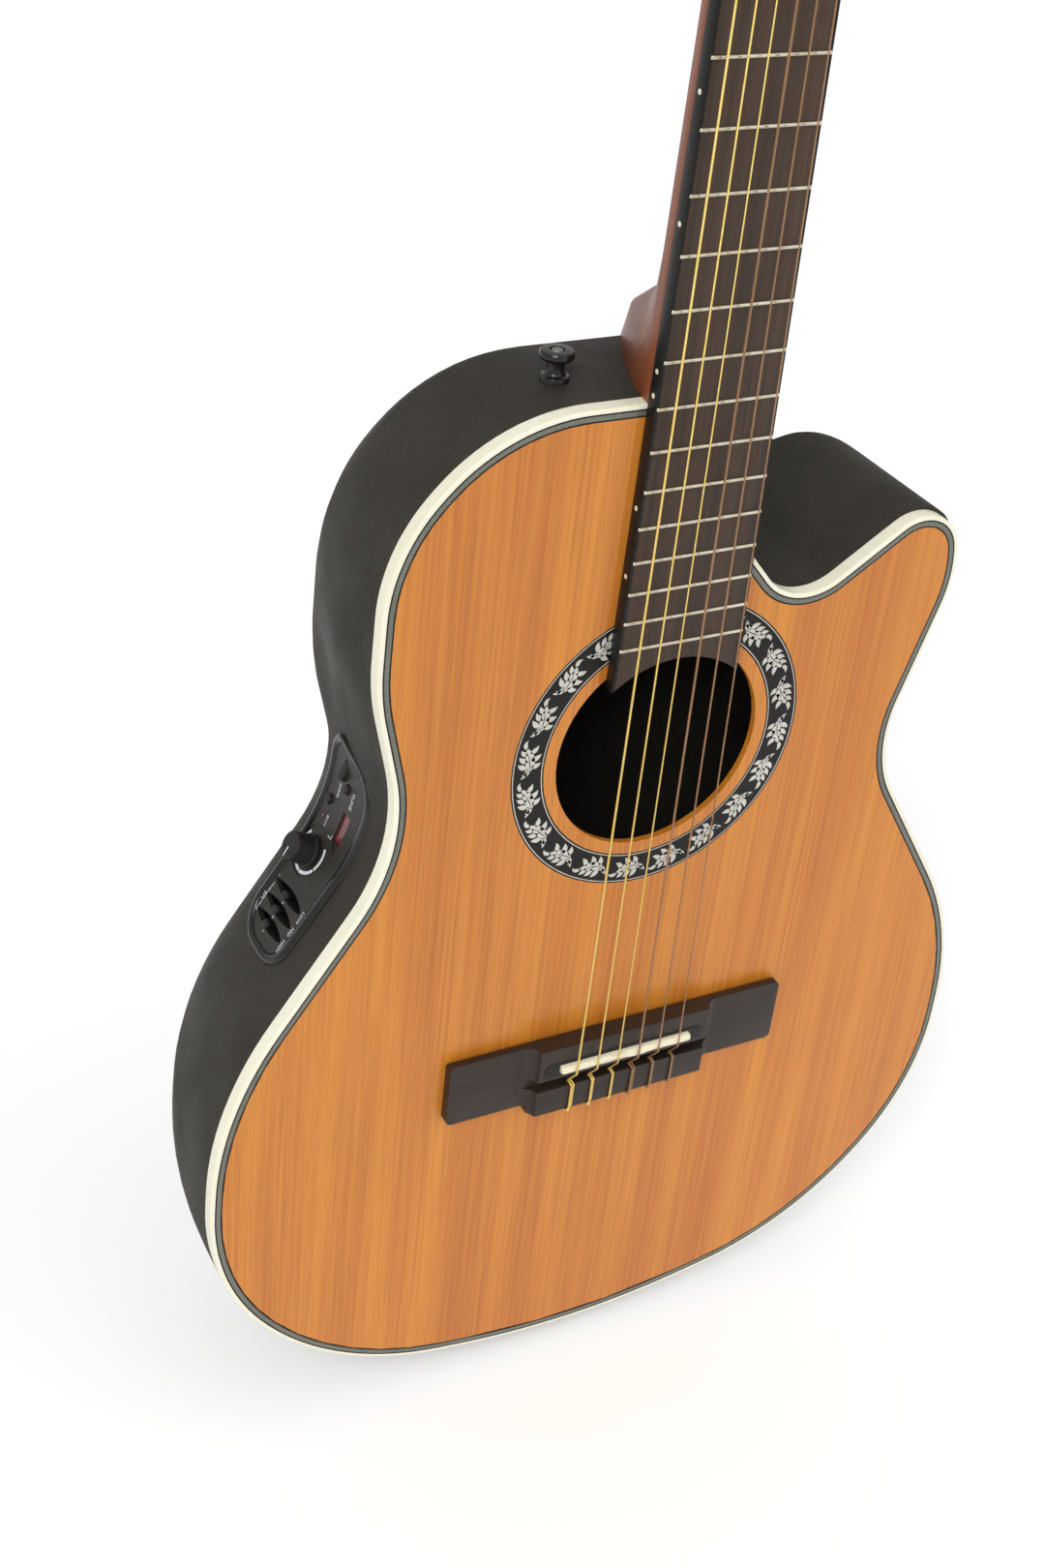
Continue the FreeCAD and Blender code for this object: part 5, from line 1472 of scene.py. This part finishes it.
def plate(outline: Sequence[Place], low: float, high: float) -> tuple[list, list]:
    """Points and faces of a block over an outline in x and y."""
    shape = rings([[(x, y, low) for x, y in outline], [(x, y, high) for x, y in outline]])
    return shape.points, shape.faces


def subdivided(outline: Sequence[Place], longest: float) -> list[Place]:
    """Closed outline with more points on its long edges."""
    out = []
    for (x0, y0), (x1, y1) in zip(outline, list(outline[1:]) + [outline[0]]):
        count = max(1, math.ceil(math.hypot(x1 - x0, y1 - y0) / longest))
        out += [(x0 + (x1 - x0) * k / count, y0 + (y1 - y0) * k / count) for k in range(count)]
    return out


def resampled(row: Sequence[Point], count: int) -> list[Point]:
    """Closed row with a number of evenly spaced points, from its first point."""
    closed = [Vector(p) for p in row] + [Vector(row[0])]
    lengths = [0.0]
    for before, after in zip(closed, closed[1:]):
        lengths.append(lengths[-1] + (after - before).length)
    out, k = [], 0
    for number in range(count):
        target = lengths[-1] * number / count
        while lengths[k + 1] < target:
            k += 1
        span = lengths[k + 1] - lengths[k]
        share = (target - lengths[k]) / span if span else 0.0
        out.append(tuple(closed[k].lerp(closed[k + 1], share)))
    return out


def cut_by(obj: bpy.types.Object, tool: bpy.types.Object, angle: float = 30.0) -> None:
    """Cuts a tool out of an object for good and removes the tool."""
    modifier = obj.modifiers.new("cut", "BOOLEAN")
    modifier.operation = "DIFFERENCE"
    modifier.solver = "EXACT"
    modifier.object = tool
    baked = evaluated(obj)
    obj.modifiers.clear()
    obj.data = baked
    tidy_mesh(baked, angle)
    bpy.data.objects.remove(tool)


def loose(shape: Shape) -> bpy.types.Object:
    """Helper object of a shape in millimetres, which is no piece of the guitar."""
    mesh = shape.mesh("room")
    tidy_mesh(mesh, 30)
    return linked("room", mesh)


def carve(obj: bpy.types.Object, room: Shape, angle: float = 30.0) -> None:
    """Cuts a shape in millimetres out of an object for good."""
    cut_by(obj, loose(room), angle)


@dataclass
class Bowl:
    """One-piece bowl with its cutaway, flange and holes, smooth outside, in millimetres."""

    depth: float = 150.0
    length: float = 526.0
    join_z: float = -325.0
    tail_z: float = -851.0
    edge: float = 7.0
    board: float = 3.0
    wall: float = 3.0
    flange: float = 8.0
    shoulder_run: float = 195.0
    tail_run: float = 160.0
    roundness: float = 2.84
    tail_roundness: float = 2.6
    shoulder_power: float = 1.5
    flat: float = 0.42
    jack: tuple = (-62.0, 42.0, -836.93)
    corners: tuple = (
        (-89.929, -325.0, 85.057), (-137.025, -376.022, 76.937), (-138.04, -439.142, 110.026),
        (-118.958, -516.99, 89.929), (-201.985, -640.074, 165.04), (-204.015, -745.274, 129.92),
        (-136.01, -828.908, 155.093), (0.0, -851.0, 395.04), (136.01, -828.908, 155.093),
        (204.015, -745.274, 129.92), (201.985, -640.074, 165.04), (124.033, -519.094, 63.945),
        (149.002, -430.2, 61.915), (139.461, -373.918, 69.02), (89.929, -325.0, 77.14),
    )
    pocket: tuple = (
        (31.465, -246.1, 2.03), (31.465, -398.114, 20.097), (61.915, -433.882, 28.014),
        (138.04, -381.282, 21.924),
        (158.34, -451.24, 2.03), (243.6, -451.24, 2.03), (243.6, -246.1, 2.03),
    )

    def level(self, share: float, depth: float, steps: int) -> list[Point]:
        """Row of points round the bowl.

        Args:
            share: Share of the bowl's depth.
            depth: Distance by which the front outline is drawn in.
            steps: Points along each rounded corner.

        Returns:
            The closed row.
        """
        front = inset(self.corners, depth) if depth else list(self.corners)
        past = max(0.0, share - self.flat) / (1 - self.flat)
        width = (1 - share ** self.roundness) ** (1 / self.roundness)
        y = self.edge + share * (self.depth - depth - self.edge)
        top = self.join_z - self.shoulder_run * past ** self.shoulder_power
        bottom = self.tail_z + self.tail_run * (
            1 - (1 - share ** self.tail_roundness) ** (1 / self.tail_roundness)
        )
        points = [
            Vector((x * width, y, top + (bottom - top) * (self.join_z - z) / self.length))
            for x, z, _ in front
        ]
        row = []
        for k, (x, z, radius) in enumerate(front):
            back = Vector((front[k - 1][0] - x, front[k - 1][1] - z))
            ahead = Vector((front[(k + 1) % len(front)][0] - x, front[(k + 1) % len(front)][1] - z))
            half = back.angle(ahead) / 2
            turn = math.pi - 2 * half
            tangent = radius / math.tan(half)
            handle = 4 / 3 * math.tan(turn / 4) / math.tan(turn / 2)
            start = points[k].lerp(points[k - 1], tangent / back.length)
            end = points[k].lerp(points[(k + 1) % len(points)], tangent / ahead.length)
            first, second = start.lerp(points[k], handle), end.lerp(points[k], handle)
            for step in range(steps + 1):
                t = step / steps
                row.append(
                    start * (1 - t) ** 3 + first * 3 * t * (1 - t) ** 2
                    + second * 3 * t * t * (1 - t) + end * t ** 3
                )
        return [tuple(p) for p in row]

    def form(self, depth: float, last: float, levels: int, steps: int) -> Shape:
        """Solid form of the bowl, drawn in by a depth."""
        shares = [last * math.sin(math.pi / 2 * k / levels) for k in range(levels + 1)]
        rows = [self.level(share, depth, steps) for share in shares]
        if depth:
            rows.insert(0, [(x, y - 2.0, z) for x, y, z in rows[0]])
        return rings(rows)

    def cutaway(self, wall: float) -> Shape:
        """Room of the cutaway, grown by the wall."""
        outline = rounded_outline(inset(self.pocket, -wall) if wall else list(self.pocket), 14)
        return prism(outline, -1.0, self.depth + 1.0)

    def build(self, palette: Palette, preamp: Preamp) -> None:
        """Makes the bowl and its flange."""
        bowl = piece(
            "bowl_round", self.form(0.0, 0.995, 26, 10), [palette.composite], replaces=["bowl"], angle=40,
        )
        carve(bowl, self.cutaway(0.0), 40)
        room = loose(self.form(self.wall, 0.97, 10, 5))
        carve(room, self.cutaway(self.wall), 40)
        cut_by(bowl, room, 40)
        hole = [
            tuple(preamp.matrix() @ Vector((u, v, n))) for n in (-40.0, 40.0)
            for u, v in preamp.outline(preamp.rim)
        ]
        half = len(hole) // 2
        carve(bowl, rings([hole[:half], hole[half:]]), 40)
        carve(
            bowl,
            lathe(
                [(0.2, -20.0), (5.6, -20.0), (5.6, 20.0), (0.2, 20.0)], 32,
            ).moved(Matrix.Translation(self.jack)),
            40,
        )
        rows = []
        for depth, y in (
            (2.0, self.board), (2.0, self.edge), (2.0 + self.flange, self.edge),
            (2.0 + self.flange, self.board),
        ):
            rows.append([(x, y, z) for x, z in rounded_outline(inset(Edging().corners(), depth), 8)])
        piece("bowl_flange", rings(rows, closed=True), [palette.composite])


@dataclass
class Fingerboard:
    """Frets, side dots and the rounded edges of the board, in millimetres."""

    scale: float = 650.0
    count: int = 19
    half_at_nut: float = 23.3
    half_at_join: float = 29.0
    join: float = 325.0
    thickness: float = 6.0
    crown: tuple = (1.7, 1.1)
    end_gap: float = 0.4
    dots: tuple = ((3, 0.0), (5, 0.0), (7, 0.0), (9, 0.0), (12, -5.0), (12, 5.0), (15, 0.0), (17, 0.0))
    dot_profile: tuple = ((0.1, -0.6), (1.1, -0.6), (1.1, 0.04), (0.1, 0.04))
    ends: tuple = ((0.0, 0.45), (0.35, 0.85), (0.8, 1.0))

    def place(self, number: float) -> float:
        """Distance of a fret from the nut."""
        return self.scale * (1 - 2 ** (-number / 12))

    def half(self, distance: float) -> float:
        """Half width of the board at a distance from the nut."""
        return self.half_at_nut + (self.half_at_join - self.half_at_nut) * distance / self.join

    def fret(self, number: int) -> Shape:
        """Fret with a round crown and bevelled ends."""
        distance = self.place(number)
        half = self.half(distance) - self.end_gap
        width, height = self.crown
        rows = []
        sections = [(-half + x, size) for x, size in self.ends] + [
            (half - x, size) for x, size in self.ends[::-1]
        ]
        for x, size in sections:
            rows.append([
                (x, -self.thickness - height * size * math.sin(a) ** 0.8, -distance + width / 2 * math.cos(a))
                for a in (math.pi * k / 12 for k in range(13))
            ])
        return rings(rows)

    def build(self, palette: Palette) -> None:
        """Makes the frets, dots and edges."""
        frets = Shape()
        for number in range(1, self.count + 1):
            frets.join(self.fret(number))
        piece("frets_crowned", frets, [palette.fret], replaces=["frets"], angle=50)
        dots = Shape()
        for number, shift in self.dots:
            distance = (self.place(number - 1) + self.place(number)) / 2 + shift
            place = Matrix.Translation((-self.half(distance), -self.thickness / 2, -distance))
            dots.join(lathe(self.dot_profile, 20).moved(place @ Matrix.Rotation(-math.pi / 2, 4, "Y")))
        piece("side_dots", dots, [palette.bone])
        refined("fingerboard", [palette.fingerboard], 0.15, 1)
        refined("fingerboard_binding", [palette.black_line], 0.3, 2)


@dataclass
class Fittings:
    """Neck, bridge, saddle, nut, strap buttons and output jack, in millimetres."""

    saddle_half: float = 35.2
    saddle_thickness: float = 4.4
    saddle_z: float = -654.5
    saddle_foot: float = -8.4
    saddle_top: float = -14.6
    steps_back: tuple = (0.2, -0.3, -0.9, 0.8, -0.2, 0.5)
    spacing: float = 11.16
    shoulder: tuple = (-54.0, 31.0, -325.14)
    tail: tuple = (0.0, 42.0, -841.97)
    jack: tuple = (-62.0, 42.0, -836.93)
    button_profile: tuple = (
        (0.2, -2.8), (6.0, -2.8), (6.0, 1.7), (5.7, 2.3), (4.6, 2.7), (3.9, 3.6), (3.6, 5.4), (3.7, 8.0),
        (4.4, 8.9), (6.6, 9.3), (7.1, 9.9), (7.2, 10.8), (7.1, 12.0), (6.6, 12.7), (5.8, 12.95), (3.2, 12.95),
        (2.9, 12.2), (0.2, 12.1),
    )
    screw_profile: tuple = ((0.2, 11.9), (2.6, 11.9), (2.6, 12.4), (2.2, 12.85), (0.9, 12.98), (0.2, 13.0))
    cup_profile: tuple = (
        (3.3, -20.0), (5.4, -20.0), (5.4, -2.9), (12.0, -2.9), (12.0, 2.7), (11.7, 3.3), (11.0, 3.5),
        (6.0, 3.45),
        (6.0, 1.0), (3.3, 1.0),
    )
    nut_flats: tuple = ((6.9, 3.4), (7.0, 3.7), (7.0, 5.6), (6.6, 5.95))
    nut_bore: tuple = ((4.9, 6.0), (4.8, 5.0), (4.2, 5.0), (4.0, 5.9), (3.3, 5.7), (3.3, 1.0), (5.0, 1.0))
    nut_reach: float = 6.85

    def saddle(self) -> Shape:
        """Saddle with a round crest that shifts a little from string to string."""
        rows = []
        front, back = self.saddle_z + self.saddle_thickness / 2, self.saddle_z - self.saddle_thickness / 2
        for step in range(73):
            x = self.saddle_half * (step / 36 - 1)
            number = min(max(x / self.spacing + 2.5, 0.0), 5.0)
            low = min(int(number), 4)
            share = min(max((number - low - 0.35) / 0.3, 0.0), 1.0)
            shift = self.steps_back[low] * (1 - share) + self.steps_back[low + 1] * share
            end = 0.5 if step in (0, 72) else 0.0
            crest = self.saddle_z - shift
            top = self.saddle_top + end
            rows.append([
                (x, self.saddle_foot, back + end), (x, top + 1.5, back + end),
                (x, top + 0.75, back + 0.35 + end), (x, top + 0.12, crest - 0.7), (x, top, crest),
                (x, top + 0.12, crest + 0.7), (x, top + 0.75, front - 0.35 - end),
                (x, top + 1.5, front - end), (x, self.saddle_foot, front - end),
            ])
        return rings(rows)

    def strap_button(self) -> Shape:
        """Strap button with a waist, standing along Z on its seat."""
        return lathe(self.button_profile, 48).join(lathe(self.screw_profile, 32), 1)

    def make_jack(self) -> tuple[Shape, Shape]:
        """Plate and hexagonal nut with the barrel, round the bore, along Z away from the bowl."""
        turns = full_turn(48)
        cup = rings(
            [
                [(r * math.cos(a), r * math.sin(a), z) for a in turns] for r, z in self.cup_profile
            ], closed=True,
        )
        nut_rows = []
        for reach, z in self.nut_flats:
            flats = [reach * math.cos(math.pi / 6) / math.cos(a % (math.pi / 3) - math.pi / 6) for a in turns]
            radii = [min(flat, self.nut_reach) for flat in flats]
            nut_rows.append([(r * math.cos(a), r * math.sin(a), z) for r, a in zip(radii, turns)])
        for radius, z in self.nut_bore:
            nut_rows.append([(radius * math.cos(a), radius * math.sin(a), z) for a in turns])
        return cup, rings(nut_rows, closed=True)

    def build(self, palette: Palette) -> None:
        """Makes the fittings."""
        refined("neck", [palette.mahogany], 0.5, 2, 40, 60)
        refined("headstock_veneer", [palette.veneer], 0.4, 2)
        refined("bridge", [palette.rosewood], 0.45, 3, 30, corner=2.8)
        refined("pickup_channel", [palette.black_satin], 0.2, 2)
        refined("nut", [palette.bone], 0.25, 2)
        piece("saddle_crested", self.saddle(), [palette.bone], replaces=["saddle"], angle=50)
        shoulder = self.strap_button().moved(Matrix.Translation(self.shoulder))
        tail = self.strap_button().moved(Matrix.Translation(self.tail) @ Matrix.Rotation(math.pi, 4, "X"))
        piece(
            "strap_buttons_turned", shoulder.join(tail), [palette.black_gloss, palette.steel],
            replaces=["strap_buttons"], angle=35,
        )
        outward = Matrix.Translation(self.jack) @ Matrix.Rotation(math.pi, 4, "X")
        cup, nut = self.make_jack()
        piece("jack_cup", cup.moved(outward), [palette.black_gloss], replaces=["jack_socket"], angle=35)
        piece("jack_nut", nut.moved(outward), [palette.chrome], angle=30)


@dataclass
class Studio:
    """Pale floor, white backdrop, soft lights and the photo's camera."""

    floor_z: float = -0.862
    floor_half: float = 4.0
    camera_place: tuple = (-0.46584, -0.66236, 0.00843)
    right: tuple = (0.88251, -0.46070, 0.09455)
    up: tuple = (0.18334, 0.52214, 0.83292)
    back: tuple = (-0.43309, -0.71772, 0.54526)
    lens: float = 49.83

    def add_camera(self) -> None:
        """Camera at the photo's place and angle."""
        data = bpy.data.cameras.new("photo_camera")
        data.sensor_fit = "VERTICAL"
        data.sensor_height = 36.0
        data.lens = self.lens
        data.clip_start = 0.01
        camera = linked("photo_camera", data)
        basis = Matrix((self.right, self.up, self.back)).transposed().to_4x4()
        camera.matrix_world = Matrix.Translation(self.camera_place) @ basis
        bpy.context.scene.camera = camera

    def add_floor(self) -> None:
        """Pale floor that is seen as white and keeps the guitar's shadow."""
        mesh = bpy.data.meshes.new("floor")
        half = self.floor_half
        corners = [
            (x, y, self.floor_z) for x, y in ((-half, -half), (half, -half), (half, half), (-half, half))
        ]
        mesh.from_pydata(corners, [], [(0, 1, 2, 3)])
        floor = linked("floor", mesh)
        paint(floor, Paper("floor_paper").make())

    def add_sun(self, name: str, place: tuple, spread: float, power: float) -> None:
        """Wide even light from the direction of a place."""
        data = bpy.data.lights.new(name, "SUN")
        data.angle = math.radians(spread)
        data.energy = power
        light = linked(name, data)
        light.matrix_world = Vector(place).to_track_quat("Z", "Y").to_matrix().to_4x4()

    def add_world(self) -> None:
        """White surroundings, softer as a light than as a backdrop."""
        world = bpy.data.worlds.new("studio")
        bpy.context.scene.world = world
        world.use_nodes = True
        nodes = Nodes(world.node_tree)
        path = nodes.add("ShaderNodeLightPath").outputs
        seen = nodes.math("MAXIMUM", path["Is Camera Ray"], path["Is Transmission Ray"])
        strength = nodes.remap(seen, 0.0, 1.0, 0.58, 1.0)
        background = nodes.add("ShaderNodeBackground", {"Color": WHITE, "Strength": strength})
        nodes.add("ShaderNodeOutputWorld", {0: background.outputs[0]})

    def build(self) -> None:
        """Makes the whole studio."""
        self.add_camera()
        self.add_floor()
        self.add_world()
        self.add_sun("key_light", (-0.55, -0.62, 0.72), 28.0, 1.55)
        self.add_sun("fill_light", (0.75, -0.8, 0.55), 60.0, 0.45)
        bpy.context.scene.view_settings.view_transform = "Standard"


def paint_cad(palette: Palette) -> None:
    """Gives every CAD node its finish, by its name or by a start that ends in an underscore."""
    finishes = {
        "composite": "bowl", "cedar": "soundboard", "ivory": "binding", "pewter": "purfling",
        "silver_inlay": "rosette", "spruce": "top_braces", "mahogany": "neck_block neck",
        "rosewood": "bridge", "veneer": "headstock_veneer", "fingerboard": "fingerboard",
        "black_line": "fingerboard_binding", "fret": "frets", "bone": "nut saddle",
        "wound": "bass_strings", "nylon": "treble_strings", "chrome": "jack_socket",
        "steel": "truss_rod", "brass": "tuner_plates tuner_screws tuner_worm_ tuner_gear_",
        "pearl": "tuner_button_ tuner_roller_", "black_gloss": "preamp_rim volume_knob strap_buttons",
        "panel": "preamp_panel", "red_window": "tuner_window",
        "black_satin": "preamp_housing pickup_channel tuner_button shape_button battery_release slider_",
    }
    for finish, names in finishes.items():
        for node, obj in frame["nodes"].items():
            if any(node == name or (name.endswith("_") and node.startswith(name)) for name in names.split()):
                paint(obj, getattr(palette, finish))


def main() -> None:
    """Builds the whole scene."""
    palette = Palette()
    paint_cad(palette)
    maker = MotifRing()
    Edging().build(palette)
    Rosette().build(palette, maker)
    strings = Strings()
    strings.build(palette)
    Tuners(strings).build(palette)
    preamp = Preamp()
    preamp.build(palette)
    Bowl().build(palette, preamp)
    Fingerboard().build(palette)
    Fittings().build(palette)
    Studio().build()


if __name__ == "__main__":
    main()
